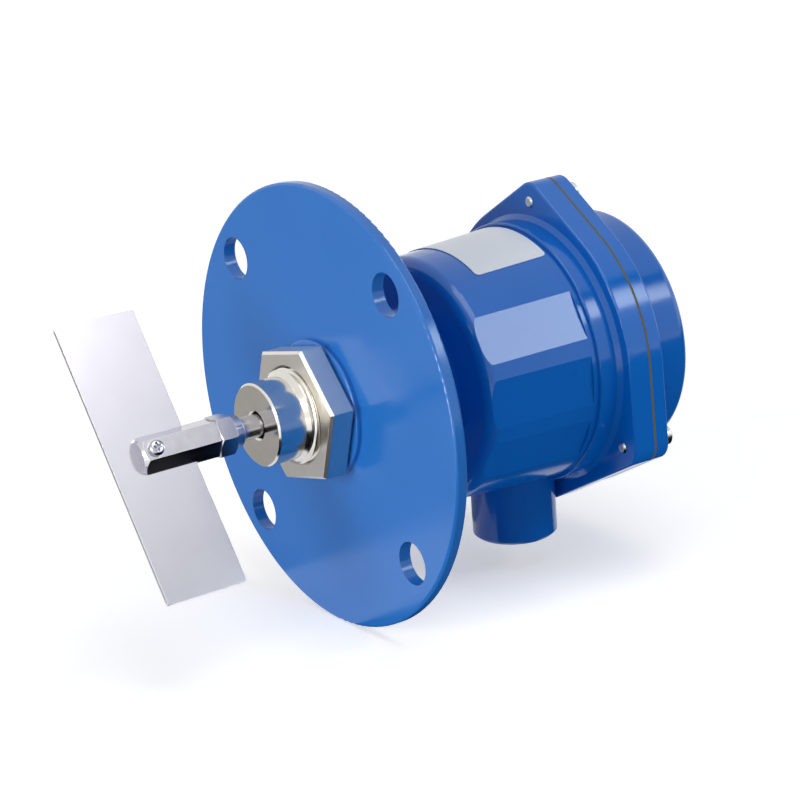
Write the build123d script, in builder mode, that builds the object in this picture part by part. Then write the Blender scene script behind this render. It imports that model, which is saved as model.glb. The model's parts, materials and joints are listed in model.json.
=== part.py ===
from build123d import *
from math import acos, atan, cos, degrees, radians, sin, tan
import os

# Rotary paddle level switch. +X runs along the shaft from the paddle to the cover, +Z is up, and the
# conduit entry points down. The origin is where the shaft crosses the mounting face of the flange,
# on the paddle's side. Angles round the shaft count from the front, -Y, up towards +Z.
# All sizes are in millimetres.

# Fits
seat_gap = 0.02
running_gap = 0.05
loose_gap = 0.3

# Mounting flange
flange_thickness = 4.5
flange_edge = 0.9
bolt_circle_diameter = 130.0
bolt_margin = 12.5
bolt_hole = 15.0
bolt_count = 4
bolt_turn = 48.0
pad_diameter = 48.0
pad_thickness = 2.0
pad_edge = 0.7

# Threaded neck and its nose in front of the lock nut
thread_diameter = 33.25
nose_step = 2.2
nose_reach = 26.4
nose_wall = 2.4
nose_gap = 0.6
nose_edge = 0.6
thread_show = 1.6
neck_gasket_thickness = 1.5
neck_gasket_diameter = 46.0
neck_collar_length = 7.0
neck_collar_flats = 41.0
neck_end = 46.0

# Lock nut
nut_flats = 44.0
nut_height = 10.0
nut_turn = 12.4
nut_edge = 0.9
nut_seat_edge = 1.4
nut_mouth = 0.8

# Ball bearings
bearing_bore = 8.0
bearing_diameter = 19.0
bearing_width = 6.0
bearing_balls = 7
ball_diameter = 3.1
race_gap = 0.12
ring_wall = 1.6

# Oil seal and snap ring
seal_width = 6.0
seal_lip = 1.2
seal_wall = 1.6
snap_ring_wire = 1.1
snap_ring_setback = 1.2
snap_ring_depth = 0.6
snap_ring_width = 2.2
snap_ring_gap = 34.0
snap_ring_turn = 25.0
snap_lug_turn = 25.5
snap_lug_diameter = 2.6
snap_lug_hole = 1.3

# Main shaft and what is screwed on its end
shaft_collar_diameter = 11.2
shaft_collar_length = 3.5
jam_nut_flats = 13.0
jam_nut_height = 6.5
jam_nut_bevel = 30.0
clip_thickness = 0.8
clip_diameter = 12.0
clip_mouth = 5.6
shaft_thread_length = 8.3

# Paddle holder, blade and screw
holder_flats = 12.0
holder_end = 44.0
holder_length = 29.0
holder_bevel = 1.6
blade_turn = -53.7
blade_length = 100.0
blade_width = 30.0
blade_thickness = 1.2
blade_edge = 0.8
blade_screw_setback = 5.0
blade_screw_diameter = 3.0
blade_screw_head = 5.6
blade_screw_head_height = 2.0
blade_screw_crown = 1.2

# Housing
housing_front = 39.0
housing_front_diameter = 87.0
housing_taper = 1.9
housing_shoulder = 4.5
housing_wall = 4.0
housing_neck_diameter = 42.0
housing_neck_fillet = 6.0
collar_start = 84.0
collar_height = 1.4
collar_bevel = 1.6
flat_setback = 2.0
flat_width = 17.4
flat_pitch = 30.0
flats_each_side = 3

# Three-eared flange where the cover meets the housing
ear_count = 3
ear_offset = 6.5
ear_radius = 7.0
ear_turn = 90.0
ear_plate_rim = 5.2
body_flange_setback = 8.5
body_flange_thickness = 8.5
cover_gasket_thickness = 1.0
cover_flange_thickness = 5.5
plate_edge = 0.8

# Cover and its screws
cover_inset = 2.9
cover_depth = 18.5
cover_wall = 3.0
cover_round = 3.5
cover_step_width = 3.1
cover_step_height = 1.2
cover_screw_diameter = 4.0
cover_screw_head = 7.0
cover_screw_head_height = 4.0
cover_screw_socket = 3.0
cover_washer_diameter = 9.0
cover_washer_thickness = 0.8
cover_screw_show = 0.7
cover_screw_point = 0.5
cover_screw_bevel = 0.4

# Conduit boss
conduit_turn = -90.0
conduit_setback = 14.5
conduit_diameter = 30.4
conduit_reach = 22.3
conduit_thread_diameter = 24.12
conduit_thread_depth = 15.0
conduit_throat_diameter = 20.0
conduit_edge = 1.0

# Label on top of the housing
label_length = 29.5
label_setback = 1.5
label_spread = 56.0
label_thickness = 0.3

# Chassis inside the housing
chassis_gap = 4.0
chassis_room = 1.8
chassis_thickness = 2.0
post_inset = 4.0
post_turn = 35.0
post_diameter = 6.0
post_stud = 4.0
post_boss = 9.0
post_stud_depth = 5.0
terminal_plate_room = 3.5
terminal_plate_thickness = 2.0
plate_screw_diameter = 3.0
plate_screw_length = 8.0
plate_screw_head = 6.0
plate_screw_head_height = 2.4
wire_notch_width = 22.0
wire_notch_depth = 12.0

# Pivot bush that the motor swings on
pivot_bore = 18.0
pivot_wall = 2.0
pivot_lip = 2.0
pivot_flange_thickness = 1.4
pivot_length = 5.0

# Swing plate with its arm and cams, and how far it swings
arm_angle = 90.0
swing_angle = 8.0
swing_plate_gap = 0.3
swing_plate_thickness = 2.0
arm_width = 8.0
arm_pin_inset = 7.0
arm_tip = 5.0
arm_pin_diameter = 2.4
arm_pin_length = 5.0
stop_diameter = 3.0
stop_offset = 2.0
stop_gap = 0.1

# Gearbox, motor, spindle and coupling
gearbox_room = 4.3
gearbox_length = 13.8
motor_lip = 1.5
motor_length = 22.0
motor_edge = 1.5
motor_screw_count = 3
motor_screw_turn = 30.0
motor_screw_length = 8.0
motor_screw_diameter = 3.0
motor_screw_head = 5.0
motor_screw_head_height = 1.2
spindle_diameter = 6.0
spindle_depth = 7.0
coupling_diameter = 14.0
coupling_length = 11.5
coupling_pin_diameter = 2.0

# Lever switches
switch_length = 12.8
switch_height = 6.5
switch_thickness = 5.8
switch_inset = 9.7
switch_centre = -3.0
switch_hole = 2.0
switch_hole_spacing = 6.5
switch_tab_length = 2.6
switch_tab_width = 1.6
switch_tab_thickness = 0.5
switch_tab_spacing = 5.0
switch_screw_head = 3.4
switch_screw_head_height = 1.2
plunger_place = -4.5
plunger_diameter = 1.6
plunger_depth = 3.2
plunger_show = 1.1
lever_pivot = -8.6
lever_drop = 1.5
lever_thickness = 0.5
lever_width = 3.0
lever_side_gap = 0.1
lever_pin_diameter = 0.8
lever_eye_diameter = 1.7
lever_tip_place = 0.6
lever_tip_drop = 0.9
lever_tip_diameter = 2.0
lever_ear_thickness = 0.9
lever_lift = 1.0
cam_gap = 0.3
cam_lead = 4.8
cam_tail = 11.0
cam_points = 5

# Return spring and its post
spring_post_inset = 2.15
spring_post_diameter = 3.0
spring_diameter = 4.0
spring_wire = 0.8
spring_coils = 10

# Terminal block, its screws and the earth screw
terminal_poles = 5
terminal_pitch = 8.5
terminal_depth = 17.0
terminal_height = 9.0
terminal_rib = 1.4
terminal_rib_height = 3.0
terminal_drop = 7.0
terminal_ear = 6.0
terminal_ear_width = 7.4
terminal_ear_thickness = 3.0
block_screw_diameter = 3.0
block_screw_head = 4.4
terminal_screw_head = 5.6
terminal_screw_head_height = 2.2
terminal_screw_diameter = 3.0
terminal_screw_length = 7.6
terminal_screw_slot = 0.7
earth_screw_place = (-18.0, 18.0)
earth_screw_diameter = 3.0
earth_screw_length = 3.4
earth_screw_head = 7.0
earth_screw_head_height = 2.8

# Diameters that follow from the sizes above
flange_diameter = bolt_circle_diameter + 2 * bolt_margin
collar_diameter = housing_front_diameter + 2 * housing_taper + 2 * collar_height
ear_plate_diameter = collar_diameter + 2 * ear_plate_rim
ear_circle_diameter = collar_diameter + 2 * ear_offset
cover_diameter = collar_diameter - 2 * cover_inset
cover_step_diameter = cover_diameter + 2 * cover_step_width
pivot_diameter = pivot_bore + 2 * pivot_wall
pivot_flange_diameter = pivot_diameter + 2 * pivot_lip

# Places along the shaft that follow from the sizes above
holder_start = holder_end + holder_length
holder_slot = holder_length - shaft_thread_length - 2 * loose_gap
nut_back = -pad_thickness
nut_front = nut_back - nut_height
thread_front = nut_front - thread_show
collar_front = flange_thickness + neck_gasket_thickness
collar_back = collar_front + neck_collar_length
seal_front = -nose_reach + nose_wall
seal_back = seal_front + seal_width
front_bearing = seal_back + loose_gap
spacer_front = front_bearing + bearing_width
snap_ring_back = neck_end - snap_ring_setback
snap_ring_front = snap_ring_back - snap_ring_wire
rear_bearing = snap_ring_front - seat_gap - bearing_width
shaft_end = neck_end + coupling_length / 2
coupling_front = neck_end + loose_gap
coupling_back = coupling_front + coupling_length
jam_nut_back = -holder_end + jam_nut_height
chassis_front = neck_end + chassis_gap
chassis_back = chassis_front + chassis_thickness
pivot_seat = chassis_back + pivot_flange_thickness
pivot_back = pivot_seat + pivot_length
swing_front = pivot_seat + swing_plate_gap
swing_back = swing_front + swing_plate_thickness
gearbox_back = swing_back + gearbox_length
motor_back = gearbox_back + motor_length
spindle_back = coupling_back + spindle_depth
flat_end = collar_start - flat_setback
label_end = collar_start - label_setback
label_start = label_end - label_length
body_flange_front = collar_start + body_flange_setback
body_flange_back = body_flange_front + body_flange_thickness
conduit_place = body_flange_front - conduit_setback
conduit_drop = housing_front_diameter / 2 + conduit_reach
gasket_back = body_flange_back + cover_gasket_thickness
cover_flange_back = gasket_back + cover_flange_thickness
cover_back = cover_flange_back + cover_depth
terminal_plate_front = motor_back + terminal_plate_room
terminal_plate_back = terminal_plate_front + terminal_plate_thickness
cavity_front = housing_front + housing_wall
shoulder_end = housing_front + housing_shoulder

# Angles that follow from the sizes above
ear_tangent = degrees(acos((ear_plate_diameter / 2 - ear_radius) / (ear_circle_diameter / 2)))
lobe_tangent = 180 / ear_count - ear_tangent
housing_draft = atan(housing_taper / (collar_start - shoulder_end))
post_angles = [post_turn, 180 - post_turn, 180 + post_turn, -post_turn]
flat_angles = [side + flat_pitch * (k - (flats_each_side - 1) / 2)
               for side in (0, 180) for k in range(flats_each_side)]
cam_slope = lever_lift / swing_angle
spring_level = swing_back + arm_pin_length / 2
lobe_place = (ear_plate_diameter - conduit_diameter) / 2 / cos(radians(lobe_tangent))


def housing_radius(x):
    """Outer radius of the housing's tapered wall at x."""
    return housing_front_diameter / 2 + (x - shoulder_end) * tan(housing_draft)


# Sizes inside the housing that follow from the room in it
chassis_diameter = 2 * (housing_radius(chassis_front) - housing_wall - chassis_room)
post_circle_diameter = chassis_diameter - 2 * post_inset
switch_face = chassis_diameter / 2 - switch_inset
lever_height = switch_face - lever_drop
lever_tip_height = lever_height - lever_tip_drop
gearbox_diameter = 2 * (switch_face - gearbox_room)
motor_diameter = gearbox_diameter + 2 * motor_lip
motor_screw_circle_diameter = (pivot_flange_diameter + gearbox_diameter) / 2
arm_pin_place = chassis_diameter / 2 - arm_pin_inset
arm_reach = arm_pin_place + arm_tip
stop_place = arm_pin_place + stop_offset
spring_post_place = ((chassis_diameter / 2 - spring_post_inset) ** 2 - arm_pin_place ** 2) ** 0.5


def station(x):
    """Plane across the shaft at x, seen from the paddle's end: local x is front, local y is up."""
    return Plane(origin=(x, 0, 0), x_dir=(0, -1, 0), z_dir=(-1, 0, 0))


def switch_station(x, side):
    """Plane across the shaft at x for a switch: local x runs the way the cams move, local y outwards.

    side is 1 for the switch behind the shaft and -1 for the one in front of it."""
    return Plane(origin=(x, 0, 0), x_dir=(0, 0, side), z_dir=(-1, 0, 0))


def polar(radius, angle):
    """Local point on a station at a radius and an angle in degrees."""
    return (radius * cos(radians(angle)), radius * sin(radians(angle)))


def radial(angle):
    """Unit vector out from the shaft at an angle in degrees."""
    return Vector(0, -cos(radians(angle)), sin(radians(angle)))


def corner_radius(flats):
    """Corner radius of a hexagon from its width across flats."""
    return flats / 2 / cos(radians(30))


def profile(*corners):
    """Closed outline of (x, radius) corners, ready to be revolved about the shaft."""
    with BuildSketch(Plane.XZ) as outline:
        with BuildLine():
            Polyline(*corners, close=True)
        make_face()
    return outline.sketch


def disc(x_start, x_end, diameter):
    """Outline of a solid disc between two places along the shaft."""
    return profile((x_start, 0), (x_end, 0), (x_end, diameter / 2), (x_start, diameter / 2))


def ring(x_start, x_end, inner, outer):
    """Outline of a ring between two places along the shaft, from its two diameters."""
    return profile((x_start, inner / 2), (x_end, inner / 2), (x_end, outer / 2), (x_start, outer / 2))


def eared_plate(x, lobe=False):
    """Round plate outline with its ears and, where asked, a lobe that meets the conduit boss below.

    Each ear or lobe is a circle out from the middle, joined to the round by two tangents. The lobe's
    tangents carry on those of the ears beside it, so the plate's lower edges run straight."""
    ears = [(ear_circle_diameter / 2, ear_radius, ear_turn + k * 360 / ear_count, ear_tangent)
            for k in range(ear_count)]
    if lobe:
        ears.append((lobe_place, conduit_diameter / 2, conduit_turn, lobe_tangent))
    with BuildSketch(station(x)) as outline:
        Circle(ear_plate_diameter / 2)
        for place, radius, centre, tangent in ears:
            ear = polar(place, centre)
            feet = [polar(ear_plate_diameter / 2, centre + s * tangent) for s in (-1, 1)]
            tips = [(ear[0] + polar(radius, centre + s * tangent)[0],
                     ear[1] + polar(radius, centre + s * tangent)[1]) for s in (-1, 1)]
            with BuildLine():
                Polyline((0, 0), feet[0], tips[0], tips[1], feet[1], (0, 0))
            make_face()
            with Locations(ear):
                Circle(radius)
    return outline.sketch


def ear_places():
    """Screw places on the ears, seen on a station."""
    return PolarLocations(ear_circle_diameter / 2, ear_count, start_angle=ear_turn)


def post_places():
    """Places of the chassis posts, seen on a station."""
    return Locations(*[polar(post_circle_diameter / 2, angle) for angle in post_angles])


def write(piece, name):
    """Label one finished piece and write it to its own file."""
    piece.part.label = name
    export_step(piece.part, f"parts/{name}.step")


os.makedirs("parts", exist_ok=True)

# Mounting flange: a round plate with four bolt holes and a raised pad under the lock nut
with BuildPart() as mounting_flange:
    with BuildSketch(station(flange_thickness)):
        Circle(flange_diameter / 2)
        with PolarLocations(bolt_circle_diameter / 2, bolt_count, start_angle=bolt_turn):
            Circle(bolt_hole / 2, mode=Mode.SUBTRACT)
    extrude(amount=flange_thickness)
    rim = mounting_flange.edges().filter_by(GeomType.CIRCLE).filter_by(
        lambda e: e.radius > bolt_circle_diameter / 2)
    fillet(rim, flange_edge)
    with BuildSketch(station(0)):
        Circle(pad_diameter / 2)
    extrude(amount=pad_thickness)
    pad_rim = mounting_flange.edges().filter_by(GeomType.CIRCLE).group_by(Axis.X)[0]
    fillet(pad_rim, pad_edge)
    with BuildSketch(station(flange_thickness)):
        Circle(thread_diameter / 2 + loose_gap)
    extrude(amount=flange_thickness + pad_thickness, mode=Mode.SUBTRACT)
write(mounting_flange, "mounting_flange")

# Neck gasket: a flat fibre ring between the flange and the neck's collar
with BuildPart() as neck_gasket:
    revolve(ring(flange_thickness, collar_front, thread_diameter + 2 * loose_gap, neck_gasket_diameter),
            axis=Axis.X)
write(neck_gasket, "neck_gasket")

# Threaded neck: nose with a front wall, thread, hexagon collar and the bore for seal and bearings
seat_bore = bearing_diameter + 2 * seat_gap
with BuildPart() as threaded_neck:
    thread_r = thread_diameter / 2
    nose_r = thread_r - nose_step
    revolve(profile((-nose_reach, 0), (-nose_reach, nose_r), (thread_front - nose_step, nose_r),
                    (thread_front, thread_r), (neck_end, thread_r), (neck_end, 0)), axis=Axis.X)
    with BuildSketch(station(collar_back)):
        RegularPolygon(neck_collar_flats / 2, 6, major_radius=False, rotation=nut_turn)
    extrude(amount=neck_collar_length)
    revolve(disc(-nose_reach, seal_front, bearing_bore + 2 * nose_gap), axis=Axis.X, mode=Mode.SUBTRACT)
    revolve(disc(seal_front, neck_end, seat_bore), axis=Axis.X, mode=Mode.SUBTRACT)
    revolve(disc(snap_ring_front, snap_ring_back, seat_bore + 2 * snap_ring_depth),
            axis=Axis.X, mode=Mode.SUBTRACT)
    nose_edges = threaded_neck.edges().filter_by(GeomType.CIRCLE).group_by(Axis.X)[0]
    chamfer(nose_edges, nose_edge)
write(threaded_neck, "threaded_neck")

# Lock nut: a hexagon with bevelled edges, more so at its seat, whose corners stay on the flange's pad
with BuildPart() as lock_nut:
    with BuildSketch(station(nut_back)):
        RegularPolygon(nut_flats / 2, 6, major_radius=False, rotation=nut_turn)
    extrude(amount=nut_height)
    for end, edge in ((0, nut_edge), (-1, nut_seat_edge)):
        chamfer(lock_nut.edges().filter_by(Axis.X, reverse=True).group_by(Axis.X)[end], edge)
    revolve(disc(nut_front, nut_back, thread_diameter + 2 * seat_gap), axis=Axis.X, mode=Mode.SUBTRACT)
    nut_mouths = lock_nut.edges().filter_by(GeomType.CIRCLE).filter_by(
        lambda e: e.radius < thread_diameter / 2 + loose_gap)
    chamfer(nut_mouths, nut_mouth)
write(lock_nut, "lock_nut")

# Snap ring behind the rear bearing: an open ring with a lug at each end
with BuildPart() as snap_ring:
    ring_outer = seat_bore / 2 + snap_ring_depth - seat_gap
    ring_inner = ring_outer - snap_ring_width
    with BuildSketch(station(snap_ring_back)):
        Circle(ring_outer)
        Circle(ring_inner, mode=Mode.SUBTRACT)
        with BuildLine():
            Polyline((0, 0), polar(2 * ring_outer, snap_ring_turn - snap_ring_gap / 2),
                     polar(2 * ring_outer, snap_ring_turn + snap_ring_gap / 2), close=True)
        make_face(mode=Mode.SUBTRACT)
        for s in (-1, 1):
            with Locations(polar(ring_inner, snap_ring_turn + s * snap_lug_turn)):
                Circle(snap_lug_diameter / 2)
                Circle(snap_lug_hole / 2, mode=Mode.SUBTRACT)
    extrude(amount=snap_ring_wire)
write(snap_ring, "snap_ring")

# Oil seal: a ring of rubber with an undercut that leaves the lip on the shaft
with BuildPart() as oil_seal:
    shaft_r = bearing_bore / 2
    lip_r = shaft_r + running_gap
    seal_r = bearing_diameter / 2
    revolve(profile((seal_front, seal_r), (seal_back, seal_r), (seal_back, seal_r - seal_wall),
                    (seal_front + seal_lip, seal_r - seal_wall), (seal_front + seal_lip, lip_r + seal_lip),
                    (seal_front + 2 * seal_lip, lip_r), (seal_front, lip_r + seal_lip / 2)), axis=Axis.X)
write(oil_seal, "oil_seal")


def bearing_outline(start, inner, outer):
    """Half section of one bearing ring with the groove that the balls run in."""
    ball_circle = (bearing_bore + bearing_diameter) / 4
    with BuildSketch(Plane.XZ) as outline:
        with Locations((start + bearing_width / 2, (inner + outer) / 4)):
            Rectangle(bearing_width, (outer - inner) / 2)
        with Locations((start + bearing_width / 2, ball_circle)):
            Circle(ball_diameter / 2 + race_gap, mode=Mode.SUBTRACT)
    return outline.sketch


# Ball bearings: the outer rings stay with the neck, the inner rings and the balls go with the shaft
for place, start in (("front", front_bearing), ("rear", rear_bearing)):
    with BuildPart() as outer_ring:
        revolve(bearing_outline(start, bearing_diameter - 2 * ring_wall, bearing_diameter), axis=Axis.X)
    write(outer_ring, f"{place}_bearing_outer_ring")
    with BuildPart() as inner_ring:
        revolve(bearing_outline(start, bearing_bore + 2 * seat_gap, bearing_bore + 2 * ring_wall),
                axis=Axis.X)
    write(inner_ring, f"{place}_bearing_inner_ring")
    with BuildPart() as balls:
        with Locations(station(start + bearing_width / 2)):
            with PolarLocations((bearing_bore + bearing_diameter) / 4, bearing_balls):
                Sphere(ball_diameter / 2)
    write(balls, f"{place}_bearing_balls")

# Main shaft: threaded front end, collar behind the jam nut, journals, and a cross hole for the pin
with BuildPart() as main_shaft:
    shaft_r = bearing_bore / 2
    revolve(disc(-holder_end - shaft_thread_length, shaft_end, bearing_bore), axis=Axis.X)
    revolve(disc(jam_nut_back, jam_nut_back + shaft_collar_length, shaft_collar_diameter), axis=Axis.X)
    collar_edges = main_shaft.edges().filter_by(GeomType.CIRCLE).filter_by(
        lambda e: e.radius > shaft_r + seat_gap)
    chamfer(collar_edges, loose_gap)
    chamfer(main_shaft.edges().filter_by(GeomType.CIRCLE).group_by(Axis.X)[0], 2 * loose_gap)
    pin_place = (coupling_front + shaft_end) / 2
    with BuildSketch(Plane.XY):
        with Locations((pin_place, 0)):
            Circle(coupling_pin_diameter / 2 + seat_gap)
    extrude(amount=bearing_bore, both=True, mode=Mode.SUBTRACT)
write(main_shaft, "main_shaft")

# Jam nut that locks the paddle holder on the shaft's thread
with BuildPart() as jam_nut:
    jam_corner = corner_radius(jam_nut_flats)
    jam_bevel = (jam_corner - jam_nut_flats / 2) * tan(radians(jam_nut_bevel))
    with BuildSketch(station(jam_nut_back)):
        RegularPolygon(jam_nut_flats / 2, 6, major_radius=False, rotation=blade_turn)
    extrude(amount=jam_nut_height)
    revolve(profile((-holder_end, 0), (-holder_end, jam_nut_flats / 2),
                    (-holder_end + jam_bevel, jam_corner), (jam_nut_back - jam_bevel, jam_corner),
                    (jam_nut_back, jam_nut_flats / 2), (jam_nut_back, 0)),
            axis=Axis.X, mode=Mode.INTERSECT)
    revolve(disc(-holder_end, jam_nut_back, bearing_bore + 2 * seat_gap), axis=Axis.X, mode=Mode.SUBTRACT)
write(jam_nut, "jam_nut")

# Spacer between the inner rings, and the clip that holds the rear one
with BuildPart() as bearing_spacer:
    revolve(ring(spacer_front, rear_bearing, bearing_bore + 2 * seat_gap, bearing_bore + 2 * ring_wall),
            axis=Axis.X)
write(bearing_spacer, "bearing_spacer")

with BuildPart() as shaft_clip:
    with BuildSketch(station(rear_bearing + bearing_width + clip_thickness)):
        Circle(clip_diameter / 2)
        Circle(bearing_bore / 2 + seat_gap, mode=Mode.SUBTRACT)
        with Locations((clip_diameter / 2, 0)):
            Rectangle(clip_diameter, clip_mouth, mode=Mode.SUBTRACT)
    extrude(amount=clip_thickness)
write(shaft_clip, "shaft_clip")

# The blade lies in a plane through the shaft: local x along the shaft, local y along the blade
blade_along = Vector(0, -cos(radians(blade_turn)), sin(radians(blade_turn)))
blade_plane = Plane(origin=(0, 0, 0), x_dir=(1, 0, 0), z_dir=blade_along.cross(Vector(1, 0, 0)))
screw_place = -holder_start + blade_screw_setback
blade_back = -holder_start + holder_slot - 2 * running_gap
screw_hole = blade_screw_diameter + 2 * running_gap

# Paddle holder: a hexagon bar, bevelled in front, slotted for the blade and tapped for the shaft
with BuildPart() as paddle_holder:
    holder_corner = corner_radius(holder_flats)
    with BuildSketch(station(-holder_end)):
        RegularPolygon(holder_flats / 2, 6, major_radius=False, rotation=blade_turn)
    extrude(amount=holder_start - holder_end)
    revolve(profile((-holder_start, 0), (-holder_start, holder_corner - holder_bevel),
                    (-holder_start + holder_bevel, holder_corner), (-holder_end, holder_corner),
                    (-holder_end, 0)), axis=Axis.X, mode=Mode.INTERSECT)
    with BuildSketch(blade_plane.offset(-blade_thickness / 2 - running_gap)):
        with Locations((-holder_start + holder_slot / 2, 0)):
            Rectangle(holder_slot, 2 * holder_flats)
    extrude(amount=blade_thickness + 2 * running_gap, mode=Mode.SUBTRACT)
    revolve(disc(-holder_end - shaft_thread_length - seat_gap, -holder_end, bearing_bore + 2 * seat_gap),
            axis=Axis.X, mode=Mode.SUBTRACT)
    with BuildSketch(blade_plane):
        with Locations((screw_place, 0)):
            Circle(screw_hole / 2)
    extrude(amount=holder_flats, both=True, mode=Mode.SUBTRACT)
write(paddle_holder, "paddle_holder")

# Paddle blade: a stainless rectangle with slightly rounded corners and one screw hole
with BuildPart() as paddle_blade:
    with BuildSketch(blade_plane.offset(-blade_thickness / 2)):
        with Locations((blade_back - blade_width / 2, 0)):
            RectangleRounded(blade_width, blade_length, blade_edge)
        with Locations((screw_place, 0)):
            Circle(screw_hole / 2, mode=Mode.SUBTRACT)
    extrude(amount=blade_thickness)
write(paddle_blade, "paddle_blade")

# Blade screw: a pan head on the holder's flat, its shank through holder and blade
with BuildPart() as blade_screw:
    with BuildSketch(blade_plane.offset(holder_flats / 2)):
        with Locations((screw_place, 0)):
            Circle(blade_screw_head / 2)
    extrude(amount=blade_screw_head_height)
    crown = blade_screw.faces().sort_by(Axis((0, 0, 0), blade_plane.z_dir))[-1].edges()
    fillet(crown, blade_screw_crown)
    with BuildSketch(blade_plane.offset(holder_flats / 2)):
        with Locations((screw_place, 0)):
            Circle(blade_screw_diameter / 2)
    extrude(amount=-holder_flats)
write(blade_screw, "blade_screw")

# Housing: neck, tapered wall with a rounded shoulder, collar, eared flange, conduit boss and post bosses
with BuildPart() as housing:
    collar_r = collar_diameter / 2
    neck_r = housing_neck_diameter / 2
    revolve(profile((collar_back, 0), (collar_back, neck_r), (housing_front, neck_r),
                    (housing_front, housing_radius(housing_front)),
                    (collar_start, housing_radius(collar_start)), (collar_start, collar_r),
                    (body_flange_back, collar_r), (body_flange_back, 0)), axis=Axis.X)
    front_rounds = housing.edges().filter_by(GeomType.CIRCLE).filter_by_position(
        Axis.X, housing_front - seat_gap, housing_front + seat_gap).sort_by(SortBy.RADIUS)
    fillet(front_rounds[-1], housing_shoulder)
    front_rounds = housing.edges().filter_by(GeomType.CIRCLE).filter_by_position(
        Axis.X, housing_front - seat_gap, housing_front + seat_gap).sort_by(SortBy.RADIUS)
    fillet(front_rounds[0], housing_neck_fillet)
    along = Vector(1, 0, 0)
    flat_height = (housing_radius(flat_end) ** 2 - (flat_width / 2) ** 2) ** 0.5
    for angle in flat_angles:
        outward = radial(angle) * cos(housing_draft) - along * sin(housing_draft)
        slope = radial(angle) * sin(housing_draft) + along * cos(housing_draft)
        foot = radial(angle) * flat_height + along * flat_end
        with BuildSketch(Plane(origin=foot, x_dir=slope, z_dir=outward)):
            Rectangle(flat_end - housing_front + housing_shoulder, 2 * flat_width,
                      align=(Align.MAX, Align.CENTER))
        extrude(amount=housing_shoulder, mode=Mode.SUBTRACT)
    step_edge = housing.edges().filter_by(GeomType.CIRCLE).filter_by_position(
        Axis.X, collar_start - seat_gap, collar_start + seat_gap).filter_by(
        lambda e: e.radius > collar_r - seat_gap)
    fillet(step_edge, (collar_r - housing_radius(collar_start)) / 2)
    extrude(eared_plate(body_flange_back, lobe=True), amount=body_flange_thickness)
    flange_face = housing.faces().filter_by(Plane.YZ).filter_by_position(
        Axis.X, body_flange_front - seat_gap, body_flange_front + seat_gap)[0]
    flange_root = flange_face.inner_wires()[0].edges()
    fillet(flange_face.outer_wire().edges(), plate_edge)
    chamfer(flange_root, collar_bevel)
    with BuildSketch(Plane.XY.offset(-conduit_drop)):
        with Locations((conduit_place, 0)):
            Circle(conduit_diameter / 2)
    extrude(amount=conduit_drop - housing_front_diameter / 2 + 2 * housing_wall)
    boss_rim = housing.edges().filter_by(GeomType.CIRCLE).group_by(Axis.Z)[0]
    chamfer(boss_rim, conduit_edge)
    revolve(profile((cavity_front, 0), (cavity_front, housing_radius(cavity_front) - housing_wall),
                    (body_flange_back, housing_radius(body_flange_back) - housing_wall),
                    (body_flange_back, 0)), axis=Axis.X, mode=Mode.SUBTRACT)
    with BuildSketch(station(chassis_front)):
        with post_places():
            Circle(post_boss / 2)
    extrude(amount=chassis_front - housing_front - housing_wall / 2)
    with BuildSketch(station(chassis_front)):
        with post_places():
            Circle(post_stud / 2 + seat_gap)
    extrude(amount=post_stud_depth + loose_gap, mode=Mode.SUBTRACT)
    revolve(disc(collar_back, chassis_front, thread_diameter + 2 * seat_gap), axis=Axis.X,
            mode=Mode.SUBTRACT)
    with BuildSketch(Plane.XY.offset(-conduit_drop)):
        with Locations((conduit_place, 0)):
            Circle(conduit_thread_diameter / 2)
    extrude(amount=conduit_thread_depth, mode=Mode.SUBTRACT)
    with BuildSketch(Plane.XY.offset(-conduit_drop)):
        with Locations((conduit_place, 0)):
            Circle(conduit_throat_diameter / 2)
    extrude(amount=conduit_drop - housing_front_diameter / 2 + 2 * housing_wall, mode=Mode.SUBTRACT)
    with BuildSketch(station(body_flange_back)):
        with ear_places():
            Circle(cover_screw_diameter / 2 + seat_gap)
    extrude(amount=body_flange_thickness, mode=Mode.SUBTRACT)
write(housing, "housing")

# Cover gasket: the eared outline, open over the cavity
cavity_mouth = housing_radius(body_flange_back) - housing_wall
with BuildPart() as cover_gasket:
    extrude(eared_plate(gasket_back), amount=cover_gasket_thickness)
    with BuildSketch(station(gasket_back)):
        Circle(cavity_mouth)
        with ear_places():
            Circle(cover_screw_diameter / 2 + loose_gap)
    extrude(amount=cover_gasket_thickness, mode=Mode.SUBTRACT)
write(cover_gasket, "cover_gasket")

# Cover: the same eared plate with a round cap, hollow inside
with BuildPart() as cover:
    revolve(profile((gasket_back, 0), (gasket_back, cover_step_diameter / 2),
                    (cover_flange_back + cover_step_height, cover_step_diameter / 2),
                    (cover_flange_back + cover_step_height, cover_diameter / 2),
                    (cover_back, cover_diameter / 2), (cover_back, 0)), axis=Axis.X)
    back_edge = cover.edges().filter_by(GeomType.CIRCLE).group_by(Axis.X)[-1]
    fillet(back_edge, cover_round)
    extrude(eared_plate(cover_flange_back), amount=cover_flange_thickness)
    flange_face = cover.faces().filter_by(Plane.YZ).filter_by_position(
        Axis.X, cover_flange_back - seat_gap, cover_flange_back + seat_gap)[0]
    fillet(flange_face.outer_wire().edges(), plate_edge)
    revolve(profile((gasket_back, 0), (gasket_back, cover_diameter / 2 - cover_wall),
                    (cover_back - cover_wall, cover_diameter / 2 - cover_wall),
                    (cover_back - cover_wall, 0)), axis=Axis.X, mode=Mode.SUBTRACT)
    with BuildSketch(station(cover_back)):
        with ear_places():
            Circle(cover_screw_diameter / 2 + loose_gap)
    extrude(amount=cover_depth + cover_flange_thickness, mode=Mode.SUBTRACT)
write(cover, "cover")

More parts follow.
